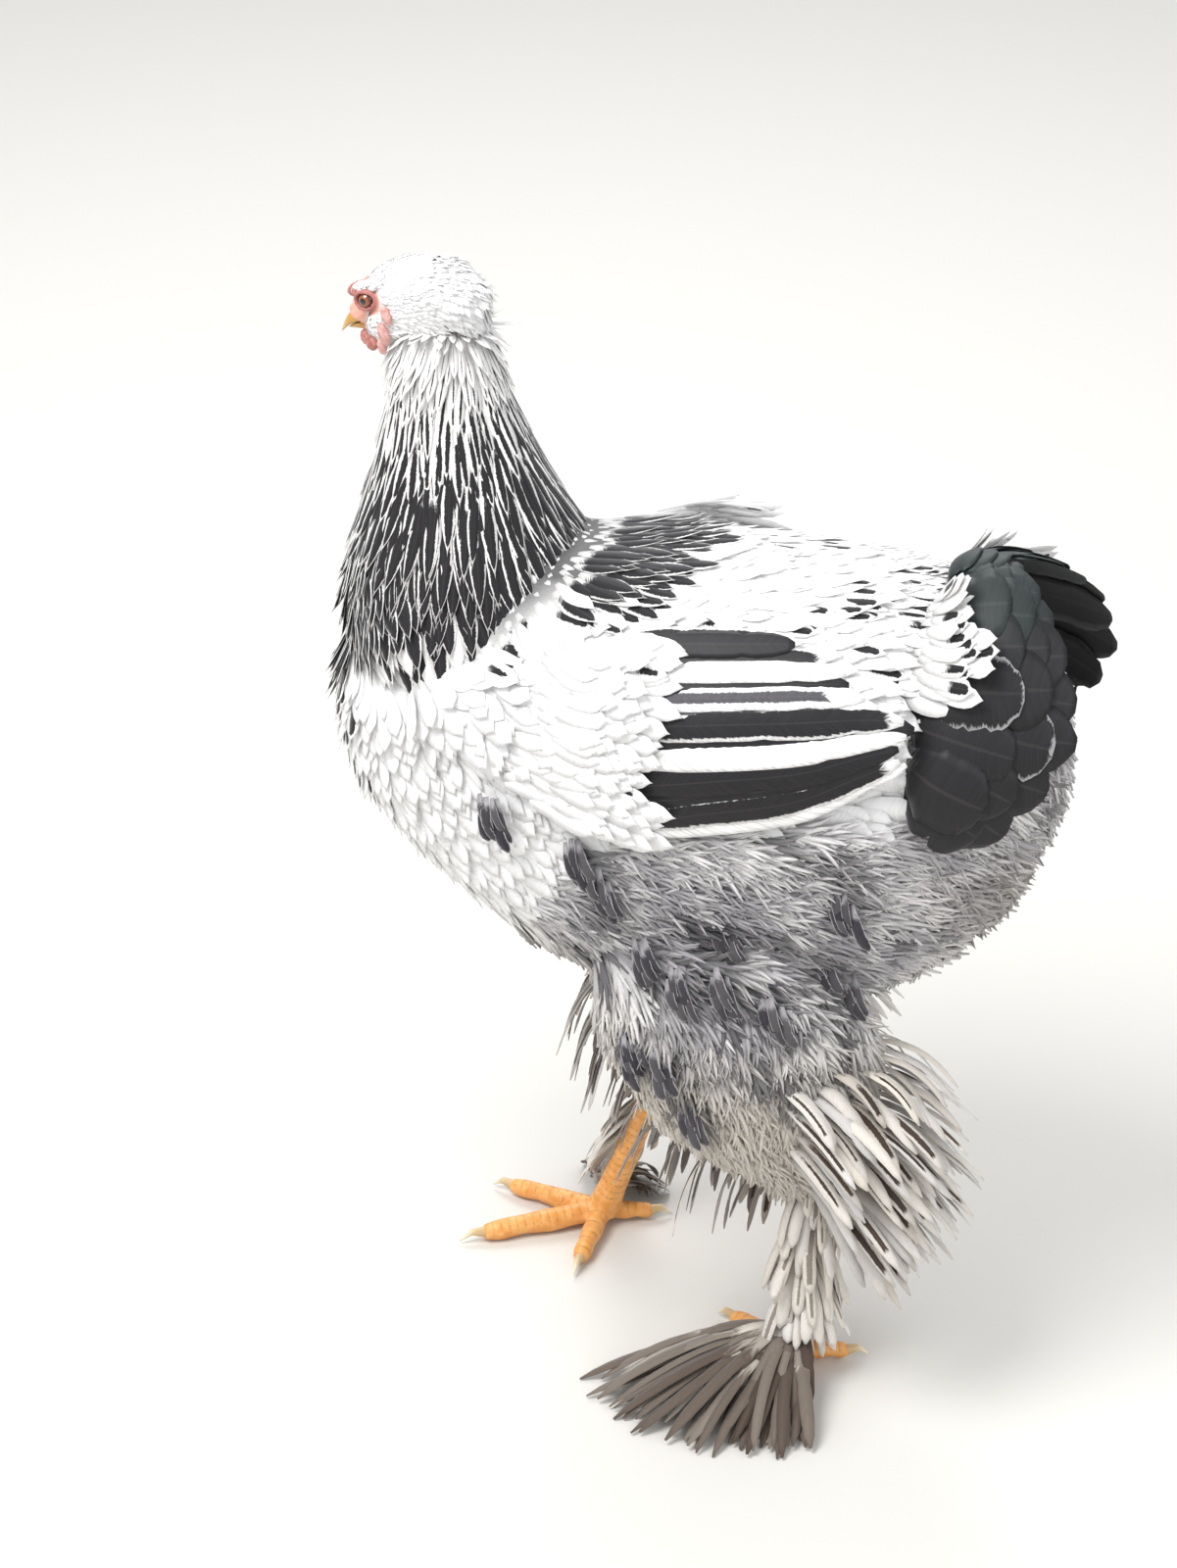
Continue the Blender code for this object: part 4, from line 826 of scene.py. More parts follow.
def plumageTree(material):
    # scatters feathers over a bed of skin along its stored lie
    tree, v = bpy.data.node_groups.new("plumage", "GeometryNodeTree"), scatterShape
    face = tree.interface
    face.new_socket("Geometry", in_out="INPUT", socket_type="NodeSocketGeometry")
    for key, kind in (("Feathers", "Collection"), ("Spacing", "Float"), ("Density", "Float"), ("Seed", "Int"),
                      ("Size", "Float"), ("Ruffle", "Float")):
        face.new_socket(key, in_out="INPUT", socket_type="NodeSocket" + kind)
    face.new_socket("Geometry", in_out="OUTPUT", socket_type="NodeSocketGeometry")
    source = addNode(tree, "NodeGroupInput").node.outputs
    maths, luck, named = "ShaderNodeMath", "FunctionNodeRandomValue", "GeometryNodeInputNamedAttribute"
    points = addNode(tree, "GeometryNodeDistributePointsOnFaces", {
        "Mesh": source["Geometry"], "Distance Min": source["Spacing"], "Density Max": source["Density"],
        "Seed": source["Seed"]}, distribute_method="POISSON")
    normal = points.node.outputs["Normal"]
    for key, kind, value in (
        ("rootPlace", "FLOAT_VECTOR", addNode(tree, "GeometryNodeInputPosition")),
        ("chance", "FLOAT", addNode(tree, luck, {2: 0.0, 3: 1.0, "Seed": 5}, 1, data_type="FLOAT")),
    ):
        stored = {"Geometry": points, "Name": key, "Value": value}
        points = addNode(tree, "GeometryNodeStoreNamedAttribute", stored, data_type=kind)
    lie = addNode(tree, named, {"Name": "lie"}, "Attribute", data_type="FLOAT_VECTOR")
    upright = addNode(tree, "FunctionNodeAxesToRotation", {"Primary Axis": normal, "Secondary Axis": lie},
                      primary_axis="Z", secondary_axis="Y")
    stored = addNode(tree, named, {"Name": "size"}, "Attribute", data_type="FLOAT_VECTOR")
    size = addNode(tree, "ShaderNodeSeparateXYZ", {"Vector": stored}).node.outputs
    ruffled = []
    for low, high, seed in ((*v["lift"], 11), (-v["yaw"], v["yaw"], 12), (-v["roll"], v["roll"], 13)):
        turn = addNode(tree, luck, {2: low, 3: high, "Seed": seed}, 1, data_type="FLOAT")
        ruffled.append(addNode(tree, maths, {0: source["Ruffle"], 1: turn}, operation="MULTIPLY"))
    lift = addNode(tree, maths, {0: size["Z"], 1: ruffled[0]}, operation="ADD")
    lift = addNode(tree, maths, {0: lift, 1: math.radians(1)}, operation="MULTIPLY")
    tilt = addNode(tree, "ShaderNodeCombineXYZ", {"X": lift, "Y": ruffled[2], "Z": ruffled[1]})
    tilt = addNode(tree, "FunctionNodeEulerToRotation", {0: tilt})
    turned = addNode(tree, "FunctionNodeRotateRotation", {0: upright, 1: tilt}, rotation_space="LOCAL")
    grow = addNode(tree, luck, {2: v["grow"][0], 3: v["grow"][1], "Seed": 14}, 1, data_type="FLOAT")
    grow = addNode(tree, maths, {0: grow, 1: source["Size"]}, operation="MULTIPLY")
    wide = addNode(tree, maths, {0: size["X"], 1: grow}, operation="MULTIPLY")
    long = addNode(tree, maths, {0: size["Y"], 1: grow}, operation="MULTIPLY")
    scale = addNode(tree, "ShaderNodeCombineXYZ", {"X": wide, "Y": long, "Z": wide})
    scale = addNode(tree, "ShaderNodeVectorMath", {0: scale, "Scale": mm}, operation="SCALE")
    choice = addNode(tree, "GeometryNodeCollectionInfo", {
        "Collection": source["Feathers"], "Separate Children": True, "Reset Children": True})
    pick = addNode(tree, luck, {4: 0, 5: 50, "Seed": 15}, 2, data_type="INT")
    planted = addNode(tree, "GeometryNodeInstanceOnPoints", {
        "Points": points, "Instance": choice, "Pick Instance": True, "Instance Index": pick,
        "Rotation": turned, "Scale": scale})
    real = addNode(tree, "GeometryNodeRealizeInstances", {"Geometry": planted})
    coated = addNode(tree, "GeometryNodeSetMaterial", {"Geometry": real, "Material": material})
    addNode(tree, "NodeGroupOutput", {"Geometry": coated})
    return tree


def insideBox(mesh):
    # nothing stands out past the model's full size
    co = np.empty(len(mesh.vertices) * 3)
    mesh.vertices.foreach_get("co", co)
    co = np.clip(co.reshape(-1, 3), np.array(cadBox[0]) + 0.3 * mm, np.array(cadBox[1]) - 0.3 * mm)
    mesh.vertices.foreach_set("co", co.ravel())
    mesh.update()


def readAttribute(mesh, name):
    values = np.empty(len(mesh.attributes[name].data) * 3, "f")
    mesh.attributes[name].data.foreach_get("vector", values)
    return values.reshape(-1, 3)


def unwrapRoots(roots, axis):
    # cylinder unwrap of the skin's own shape round an axis; gives 0 to 1
    p = (roots - birdShift) / mm
    if axis == "along":  # trunk: angle about its long axis, and length
        turn = np.arctan2(p[:, 0], p[:, 2] - 340)
        other = (p[:, 1] + 190) / 430
    else:  # neck, thighs and head: angle about the upright through their middle, and height
        turn = np.arctan2(p[:, 0] - axis[0], -(p[:, 1] - axis[1]))
        other = (p[:, 2] - axis[2]) / axis[3]
    return np.clip(np.stack([turn / math.tau + 0.5, other], -1), 0.003, 0.994)


def bakeMap(mesh, axis):
    # OFBake: each feather is a small patch at its root's place
    roots = unwrapRoots(readAttribute(mesh, "rootPlace"), axis)
    local = readAttribute(mesh, "vaneUv")[:, :2] * (0.5, 1) + (0.5, 0)
    uv = roots + local * 0.003
    corners = np.empty(len(mesh.loops), "i")
    mesh.loops.foreach_get("vertex_index", corners)
    layer = mesh.uv_layers.new(name="OFBake")
    layer.data.foreach_set("uv", uv[corners].ravel().astype("f"))


def bed(skin, keep):
    # the skin's faces where a coat grows
    p, n = places(skin.data)
    mask = keep(p)
    faces = [tuple(f.vertices) for f in skin.data.polygons if all(mask[v] for v in f.vertices)]
    used = np.unique(np.concatenate([np.array(f) for f in faces]))
    index = np.full(len(p), -1)
    index[used] = np.arange(len(used))
    return p[used], n[used], [tuple(int(index[v]) for v in f) for f in faces]


def growCoat(name, skin, keep, kind, spacing, axis, seed, describe=coatAt):
    p, n, faces = bed(skin, keep)
    made = meshObject(name, p, faces, describe(p, n))
    modifier = made.modifiers.new("plumage", "NODES")
    modifier.node_group = plumage
    names = {item.name: item.identifier for item in plumage.interface.items_tree if item.in_out == "INPUT"}
    for key, value in (("Feathers", feathers[kind]), ("Spacing", spacing * mm), ("Seed", seed), ("Size", 1.0),
                       ("Density", 3.0 / (spacing * mm) ** 2), ("Ruffle", 1.0)):
        modifier[names[key]] = value
    graph = bpy.context.evaluated_depsgraph_get()
    mesh = bpy.data.meshes.new_from_object(made.evaluated_get(graph))
    bpy.data.objects.remove(made)
    insideBox(mesh)
    mesh.shade_smooth()
    coat = placed(name, mesh)
    bakeMap(mesh, axis)
    print(name, "triangles", sum(len(f.vertices) - 2 for f in mesh.polygons))
    return coat


# long feathers, built one by one

class Vanes:
    # gathers long feathers into one joined mesh

    def __init__(self, name):
        self.name, self.verts, self.faces = name, [], []
        self.fields = {key: [] for key in ("vaneUv", "light", "dark", "mark", "rootPlace")}
        self.chance = []

    def add(self, line, half, light, dark, mark, camber, columns=7, thick=0.35):
        # line: centre, side and upward direction at each row, root to tip; half: half width there
        centre, across, up = line
        rows = len(centre)
        u = np.linspace(-1, 1, columns)
        v = np.linspace(0, 1, rows)
        half = np.asarray(half).copy()
        for _ in range(draw.integers(1, 4)):
            half *= 1 - draw.uniform(0.05, 0.2) * np.exp(-((v - draw.uniform(0.45, 0.97)) / 0.03) ** 2)
        rough = 1 + 0.02 * draw.standard_normal(rows)
        wide = (half * rough)[:, None]
        body = centre[:, None] + across[:, None] * (wide * u)[..., None]
        body = body - up[:, None] * (camber * wide * u ** 2)[..., None]
        skinThick = thick * (1 - 0.75 * u ** 2) * 0.5 + 0.06
        top = body + up[:, None] * skinThick[None, :, None]
        under = body - up[:, None] * skinThick[None, :, None]
        base = len(self.verts)
        self.verts += top.reshape(-1, 3).tolist() + under.reshape(-1, 3).tolist()
        n = rows * columns
        self.faces += gridFaces(rows, columns, False, base)
        self.faces += [f[::-1] for f in gridFaces(rows, columns, False, base + n)]
        for r in range(rows - 1):
            for edge, order in ((0, 1), (columns - 1, -1)):
                a, b = base + r * columns + edge, base + (r + 1) * columns + edge
                self.faces.append((a, b, b + n, a + n)[::order])
        for row, order in ((0, -1), (rows - 1, 1)):
            for k in range(columns - 1):
                a = base + row * columns + k
                self.faces.append((a, a + 1, a + 1 + n, a + n)[::order])
        uv, root = np.tile(vaneGrid(u, v), (2, 1)), centre[0] * mm + birdShift
        for key, value in zip(self.fields, (uv, light, dark, mark, root)):
            self.fields[key].append(np.broadcast_to(np.asarray(value, float), (2 * n, 3)))
        self.chance.append(np.full(2 * n, draw.uniform(0, 1)))

    def build(self, axis, material):
        fields = {key: np.concatenate(values) for key, values in self.fields.items()}
        made = meshObject(self.name, self.verts, self.faces, fields)
        storeOn(made.data, "chance", np.concatenate(self.chance), "FLOAT", "value")
        insideBox(made.data)
        made.data.shade_smooth()
        outward(made.data)
        made.data.materials.append(material)
        bakeMap(made.data, axis)
        print(self.name, "triangles", sum(len(f.vertices) - 2 for f in made.data.polygons))
        return made


def vaneTaper(t, root=0.45):
    # half width along a feather: narrow root, full middle, rounded tip
    t = np.asarray(t)
    body = root + (1 - root) * ramp(t, 0, 0.35)
    end = np.sqrt(np.clip(1 - (np.clip(t - 0.72, 0, 1) / 0.285) ** 2.2, 0, 1))
    return body * np.maximum(end, 0.02)


def framed(centre, up):
    # a centre line with its side and true upward direction at each row
    ahead = unit(np.gradient(centre, axis=0))
    across = unit(np.cross(ahead, up))
    return centre, across, np.cross(across, ahead)


def freeLine(root, middle, tip, steps=16):
    t = np.linspace(0, 1, steps)[:, None]
    bend = 2 * middle - (root + tip) / 2
    return root * (1 - t) ** 2 + bend * 2 * t * (1 - t) + tip * t * t


def surfaceLine(place, us, vs, heights, out, step=0.02):
    # centre line over a surface, with its side direction and the normal on the side of out
    centre = place(us, vs, heights)
    along = unit(np.gradient(centre, axis=0))
    side = place(us, vs + step, heights) - place(us, vs - step, heights)
    side = unit(side - along * np.sum(side * along, -1, keepdims=True))
    normal = unit(np.cross(along, side))
    return centre, side, normal * np.where(np.sum(normal * out, -1, keepdims=True) < 0, -1, 1)


# materials

def newMaterial(name):
    material = bpy.data.materials.new(name)
    material.use_nodes = True
    tree = material.node_tree
    return material, tree, next(n for n in tree.nodes if n.type == "BSDF_PRINCIPLED")


def rgba(hexColour):
    return (*linear(hexColour), 1.0)


maths, mixer, spread = "ShaderNodeMath", "ShaderNodeMix", "ShaderNodeMapRange"


def bandOf(value, low, high, first=0.0, last=1.0):
    # inputs of a soft step from one value to another
    return {"Value": value, "From Min": low, "From Max": high, "To Min": first, "To Max": last}


def grainOver(tree, size, detail=3.0):
    # noise over the object's own coordinates, size in millimetres
    place = addNode(tree, "ShaderNodeTexCoord", out="Object")
    return addNode(tree, "ShaderNodeTexNoise", {"Vector": place, "Scale": 1 / (size * mm), "Detail": detail})


def shaded(tree, colour, amount):
    # the colour made darker or lighter by one amount
    grey = addNode(tree, "ShaderNodeCombineXYZ", {"X": amount, "Y": amount, "Z": amount})
    return addNode(tree, mixer, {0: 1.0, 6: colour, 7: grey}, 2, data_type="RGBA", blend_type="MULTIPLY")


def finish(tree, surface, colour, height, strength, deep, roughness):
    # what every finish ends with: its colour, a fine relief (depth in millimetres) and how dull it is
    tree.links.new(colour, surface.inputs["Base Color"])
    bump = addNode(tree, "ShaderNodeBump", {"Height": height, "Strength": strength, "Distance": deep * mm})
    tree.links.new(bump, surface.inputs["Normal"])
    surface.inputs["Roughness"].default_value = roughness


def featherMaterial(name, gloss=0.0, barbs=46.0, sheen=0.25):
    # keratin vanes: a soft matt surface with fine barbs, and the dark centre each feather carries
    material, tree, surface = newMaterial(name)
    read = "ShaderNodeAttribute"
    vane = addNode(tree, read, out="Vector", attribute_name="vaneUv")
    vane = addNode(tree, "ShaderNodeSeparateXYZ", {"Vector": vane}).node.outputs
    mark = addNode(tree, read, out="Vector", attribute_name="mark")
    mark = addNode(tree, "ShaderNodeSeparateXYZ", {"Vector": mark}).node.outputs
    chance = addNode(tree, read, out="Fac", attribute_name="chance")
    aside = addNode(tree, maths, {0: vane["X"]}, operation="ABSOLUTE")
    shift = addNode(tree, maths, {0: chance, 1: 37.0}, operation="MULTIPLY")
    slant = addNode(tree, maths, {0: aside, 1: -5.0}, operation="MULTIPLY")
    slant = addNode(tree, maths, {0: vane["Y"], 1: barbs, 2: slant}, operation="MULTIPLY_ADD")
    across = addNode(tree, maths, {0: vane["X"], 1: 0.6}, operation="MULTIPLY")
    place = addNode(tree, "ShaderNodeCombineXYZ", {"X": slant, "Y": across, "Z": shift})
    streak = addNode(tree, "ShaderNodeTexNoise", {"Vector": place, "Scale": 1.0, "Detail": 2.0})
    across = addNode(tree, maths, {0: vane["X"], 1: 1.2}, operation="MULTIPLY")
    along = addNode(tree, maths, {0: vane["Y"], 1: 3.0}, operation="MULTIPLY")
    place = addNode(tree, "ShaderNodeCombineXYZ", {"X": across, "Y": along, "Z": shift})
    blot = addNode(tree, "ShaderNodeTexNoise", {"Vector": place, "Scale": 1.0, "Detail": 1.0})
    rough = addNode(tree, maths, {0: streak, 1: 0.34, 2: -0.28}, operation="MULTIPLY_ADD")
    rough = addNode(tree, maths, {0: blot, 1: 0.22, 2: rough}, operation="MULTIPLY_ADD")
    tip = addNode(tree, maths, {0: vane["Y"], 1: 4.2, 2: -3.2}, operation="MULTIPLY_ADD")
    edge = addNode(tree, maths, {0: aside, 1: tip}, operation="MAXIMUM")
    inside = addNode(tree, maths, {0: mark["X"], 1: rough}, operation="ADD")
    inside = addNode(tree, maths, {0: inside, 1: edge}, operation="SUBTRACT")
    begun = addNode(tree, maths, {0: vane["Y"], 1: mark["Y"]}, operation="SUBTRACT")
    begun = addNode(tree, maths, {0: begun, 1: rough}, operation="ADD")
    carried = addNode(tree, maths, {0: chance, 1: mark["Z"]}, operation="LESS_THAN")
    patch = addNode(tree, spread, bandOf(inside, -0.05, 0.07), interpolation_type="SMOOTHSTEP")
    begun = addNode(tree, spread, bandOf(begun, -0.06, 0.1), interpolation_type="SMOOTHSTEP")
    patch = addNode(tree, maths, {0: patch, 1: begun}, operation="MULTIPLY")
    patch = addNode(tree, maths, {0: patch, 1: carried}, operation="MULTIPLY")
    own = addNode(tree, maths, {0: chance, 1: 7.3}, operation="MULTIPLY")
    own = addNode(tree, maths, {0: own}, operation="FRACT")
    colour = addNode(tree, read, out="Vector", attribute_name="light")
    for value, low, high, first, last in ((own, 0.0, 1.0, 0.93, 1.0), (vane["Y"], 0.0, 0.5, 0.8, 1.0)):
        amount = addNode(tree, spread, bandOf(value, low, high, first, last), interpolation_type="SMOOTHSTEP")
        colour = shaded(tree, colour, amount)
    dark = addNode(tree, read, out="Vector", attribute_name="dark")
    colour = addNode(tree, mixer, {0: patch, 6: colour, 7: dark}, 2, data_type="RGBA")
    amount = bandOf(streak, 0.3, 0.7, 0.92 - 0.2 * gloss, 1.04 + 0.15 * gloss)
    colour = shaded(tree, colour, addNode(tree, spread, amount, interpolation_type="SMOOTHSTEP"))
    shaft = addNode(tree, spread, bandOf(aside, 0.03, 0.07, 0.05, 0.0), interpolation_type="SMOOTHSTEP")
    colour = addNode(tree, mixer, {0: shaft, 6: colour, 7: rgba("8b8684")}, 2, data_type="RGBA")
    finish(tree, surface, colour, streak, 0.25, 0.15, 0.65 - 0.2 * gloss)
    surface.inputs["Specular IOR Level"].default_value = 0.2 + 0.15 * gloss
    surface.inputs["Sheen Weight"].default_value = sheen
    surface.inputs["Sheen Roughness"].default_value = 0.4
    return material


def skinMaterial(name, base, second, roughness, deep):
    # bare red or pink skin: mottled, softly glossy, with a fine grain
    material, tree, surface = newMaterial(name)
    mottle = addNode(tree, spread, bandOf(grainOver(tree, 3.0), 0.35, 0.65), interpolation_type="SMOOTHSTEP")
    colour = addNode(tree, mixer, {0: mottle, 6: rgba(base), 7: rgba(second)}, 2, data_type="RGBA")
    finish(tree, surface, colour, grainOver(tree, 0.7, 4.0), 0.5, deep, roughness)
    surface.inputs["Subsurface Weight"].default_value = 0.15
    surface.inputs["Subsurface Scale"].default_value = 1.5 * mm
    return material


def paintedSkin(name):
    # skin under the plumage, coloured by its own stored colour so that gaps between feathers match; under the
    # feathers that colour is darkened as painted shade in the gaps
    material, tree, surface = newMaterial(name)
    colour = addNode(tree, "ShaderNodeAttribute", out="Color", attribute_name="tint")
    grain = grainOver(tree, 1.1)
    shade = addNode(tree, spread, bandOf(grain, 0.3, 0.7, 0.9, 1.04), interpolation_type="SMOOTHSTEP")
    finish(tree, surface, shaded(tree, colour, shade), grain, 0.5, 0.15, 0.6)
    return material


def hornMaterial(name, base, tip, start, end):
    # horn: warm at the root and paler at the tip, with a soft gloss
    material, tree, surface = newMaterial(name)
    share = addNode(tree, "ShaderNodeAttribute", out="Fac", attribute_name="along")
    share = addNode(tree, maths, {0: share, 1: 0.2}, operation="SUBTRACT")
    streak = addNode(tree, maths, {0: grainOver(tree, 3.0), 1: 0.4, 2: share}, operation="MULTIPLY_ADD")
    streak = addNode(tree, spread, bandOf(streak, start, end), interpolation_type="SMOOTHSTEP")
    colour = addNode(tree, mixer, {0: streak, 6: rgba(base), 7: rgba(tip)}, 2, data_type="RGBA")
    finish(tree, surface, colour, grainOver(tree, 0.7), 0.3, 0.06, 0.36)
    return material


def scaleMaterial():
    # leg scales: ochre horny plates, painted darker in their grooves as painted shade
    material, tree, surface = newMaterial("legScales_horny")
    groove = addNode(tree, "ShaderNodeAttribute", out="Fac", attribute_name="groove")
    groove = addNode(tree, maths, {0: groove, 1: 0.6}, operation="MULTIPLY")
    mottle = addNode(tree, spread, bandOf(grainOver(tree, 5.0), 0.35, 0.65), interpolation_type="SMOOTHSTEP")
    colour = addNode(tree, mixer, {0: mottle, 6: rgba("efb067"), 7: rgba("e29a4c")}, 2, data_type="RGBA")
    # the grooves between scutes get a darker brown: painted shade in the recesses
    colour = addNode(tree, mixer, {0: groove, 6: colour, 7: rgba("9c6630")}, 2, data_type="RGBA")
    finish(tree, surface, colour, grainOver(tree, 0.8), 0.3, 0.08, 0.45)
    return material


def eyeMaterial():
    # dark amber iris round a black pupil under a wet clear surface
    material, tree, surface = newMaterial("eye_wet")
    ring = addNode(tree, "ShaderNodeAttribute", out="Fac", attribute_name="ring")
    ring = addNode(tree, maths, {0: ring, 1: 0.03}, operation="SUBTRACT")
    ring = addNode(tree, maths, {0: grainOver(tree, 0.5), 1: 0.06, 2: ring}, operation="MULTIPLY_ADD")
    colour = rgba("050505")
    for low, high, tint in ((0.30, 0.34, "8a4a1c"), (0.5, 0.66, "57250f"), (0.70, 0.76, "1c0d0a")):
        step = addNode(tree, spread, bandOf(ring, low, high), interpolation_type="SMOOTHSTEP")
        colour = addNode(tree, mixer, {0: step, 6: colour, 7: rgba(tint)}, 2, data_type="RGBA")
    tree.links.new(colour, surface.inputs["Base Color"])
    surface.inputs["Roughness"].default_value = 0.08
    surface.inputs["Coat Weight"].default_value = 1.0
    surface.inputs["Coat Roughness"].default_value = 0.02
    return material


plumageSoft = featherMaterial("plumage_soft")
plumageGloss = featherMaterial("plumage_glossy", gloss=0.7, barbs=90.0, sheen=0.1)
plumage = plumageTree(plumageSoft)

# skin
bodySkin, headSkinObject = buildBodySkin(), buildHeadSkin()
print("skins", len(bodySkin.data.vertices), len(headSkinObject.data.vertices))


def headCoat(p, n):
    # small feathers of cap, cheeks and throat, in the head's own directions
    h = toHead(p)
    info = coatAt(p, n)
    lie = np.tile((-1.0, 0, -0.3), (len(p), 1))
    lie[:, 2] -= 1.1 * ramp(-h[:, 2], 4, 20) + 1.4 * ramp(-h[:, 0], 12, 30)
    lie = lie @ headTurn.T
    lie += 0.07 * np.stack([wobble(p, 5, 1), wobble(p, 5, 4), wobble(p, 5, 9)], -1)
    lie = unit(lie - n * np.sum(lie * n, -1, keepdims=True))
    near = 1 - bareSkin(h)
    length = np.interp(h[:, 0], (-30, -10, 8, 22), (17, 11, 6.5, 3.2)) * (0.6 + 0.4 * near)
    half = np.interp(h[:, 0], (-30, -10, 8, 22), (2.5, 2.0, 1.4, 0.9))
    size = np.stack([half, length, 3.0 + 0 * length], -1)
    light = np.tile(tone["white"], (len(p), 1))
    light = mixed(light, tone["cream"], (ramp(-h[:, 2], 10, 20) * 0.4)[:, None])
    mark = np.stack([0.16 + 0 * half, 0.2 + 0 * half, 0.12 * ramp(-h[:, 0], 14, 30)], -1)
    info.update(lie=lie, size=size, light=light, mark=mark)
    return info


def tintSkin(obj, colour):
    values = np.concatenate([colour, np.ones((len(colour), 1))], 1)
    storeOn(obj.data, "tint", values, "FLOAT_COLOR", "color")


bodyPoints, bodyNormals = places(bodySkin.data)
under = coatAt(bodyPoints, bodyNormals)
share = np.clip(under["mark"][:, 2] * np.minimum(under["mark"][:, 0], 0.9), 0, 1)[:, None]
# the skin under the feathers is painted 0.8 times darker than the plumage: painted shade in the gaps between
# feathers
tintSkin(bodySkin, mixed(under["light"], under["dark"], share) * 0.8)
headPoints, _ = places(headSkinObject.data)
h = toHead(headPoints)
bare = bareSkin(h)[:, None]
eyeFar = np.hypot((h[:, 0] - eyePlace[0]) / 1.25, h[:, 2] - eyePlace[2])
maroonShare = (1 - ramp(eyeFar, 5.0, 8.0))[:, None]
mottled = (0.5 + 0.5 * wobble(headPoints, 1.6))[:, None]
faceTone = mixed(tone["face"], tone["flush"], mottled * 0.5)
faceTone = mixed(faceTone, tone["maroon"], maroonShare * 0.75)
# feathered head skin is painted 0.8 times darker than white: painted shade in the gaps between feathers; the
# bare face keeps its own colour
tintSkin(headSkinObject, mixed(np.tile(tone["white"] * 0.8, (len(h), 1)), faceTone, bare))
skinPaint = paintedSkin("skin_bare")
for skin in (bodySkin, headSkinObject):
    skin.data.materials.clear()
    skin.data.materials.append(skinPaint)
    skin.data.shade_smooth()

# coats
def headPlumed(p):
    h = toHead(p)
    return (bareSkin(h) < 0.4) & ~((h[:, 0] < -18) & (h[:, 2] < -10))


def inZone(zone, p):
    x, y, z = p.T
    angle = trunkAngle(p)
    neck, thigh = (z > 440) & (y < -20), z < 236
    fluffy = z + 7 * wobble(p, 11, 3) < flankBorder(y) + 6
    cape = (angle > np.interp(y, *zip(*capeBorder)) - 2) & (y < 16) & (z > 350)
    # the skin bears nothing under the flight feathers
    covered = (y > 26) & (y < 122) & (angle > 2) & (angle < np.where(x > 0, 40, 27)) & (np.abs(x) > 80)
    white = ~cape & ~neck & ~fluffy & ~thigh
    return {
        "hackle": neck, "cape": cape & ~neck,
        "back": white & ~covered & (y > -60), "breast": white & (y <= -60),
        "belly": ~neck & fluffy & ~thigh, "thigh_left": thigh & (x > 0), "thigh_right": thigh & (x <= 0),
    }[zone]


coatPlan = (  # zone, kind of feather, spacing, what its map turns round, seed
    ("hackle", "hackle", 3.4, (-1, -100, 400, 150), 3), ("cape", "hackle", 4.6, "along", 4),
    ("back", "body", 4.9, "along", 5), ("breast", "body", 4.9, "along", 6),
    ("belly", "down", 5.6, "along", 7),
    ("thigh_left", "down", 5.4, (50, 66, 100, 150), 8), ("thigh_right", "down", 5.4, (-50, 8, 100, 150), 9),
)
coats = [growCoat("coat_" + zone, bodySkin, lambda p: inZone(zone, p), kind, spacing, axis, seed)
         for zone, kind, spacing, axis, seed in coatPlan]
coats.append(growCoat("coat_head", headSkinObject, headPlumed, "cap", 1.5, (-4, -122, 510, 75), 10, headCoat))

# the small pieces of the head, and the legs
redSkin = skinMaterial("redSkin_pebbled", "c48a7e", "a4625a", 0.5, 0.15)
lobeSkin = skinMaterial("earlobe_soft", "b98680", "cda49c", 0.55, 0.12)
beakHorn = hornMaterial("beak_horn", "b98a3c", "d9c28a", 0.45, 1.0)
clawHorn = hornMaterial("claw_horn", "c9ab7c", "e3d6b8", 0.2, 0.9)
eyeWet, legScales = eyeMaterial(), scaleMaterial()


def alongShare(obj, start, direction, length):
    p, _ = places(obj.data)
    share = ((p - start) @ np.asarray(direction)) / length
    storeOn(obj.data, "along", share, "FLOAT", "value")


def dressed(obj, material, slot, *nodes):
    obj.data.materials.clear()
    obj.data.materials.append(material)
    obj.data.shade_smooth()
    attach(obj, "root")
    if nodes:
        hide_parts(*nodes)
    return obj


for upper in (True, False):
    beak = buildBeak(upper)
    alongShare(beak, fromHead((24, 0, -6)), unit(headTurn @ np.array((1.0, 0, -0.15))), 27)
    dressed(beak, beakHorn, "horn", "beak_upper" if upper else "beak_lower")
comb = fleshy("combFlesh", combBalls(), 0.35)
dressed(comb, redSkin, "red_skin", "comb")
for side, sign in (("left", 1), ("right", -1)):
    for name, balls, material in (("wattle", wattleBalls, redSkin), ("earlobe", earlobeBalls, lobeSkin)):
        bulbs = [((f, left * sign, up), radii) for (f, left, up), radii in balls]
        dressed(fleshy(name + "Flesh_" + side, bulbs, 0.35), material, "red_skin", name + "_" + side)
    dressed(buildEye(sign), eyeWet, "eye", "eye_" + side)
    dressed(buildLeg(side), legScales, "yellow_scales", "shank_" + side, "foot_" + side)
    for k in range(4):
        claw = buildClaw(side, k)
        claw.name = "clawHorn_" + side + "_" + toeSizes[k][0]
        points, _, out = toeLine(side, k)
        alongShare(claw, points[-1], out, toeSizes[k][3])
        dressed(claw, clawHorn, "horn", "claw_" + side + "_" + toeSizes[k][0])
print("head and legs")

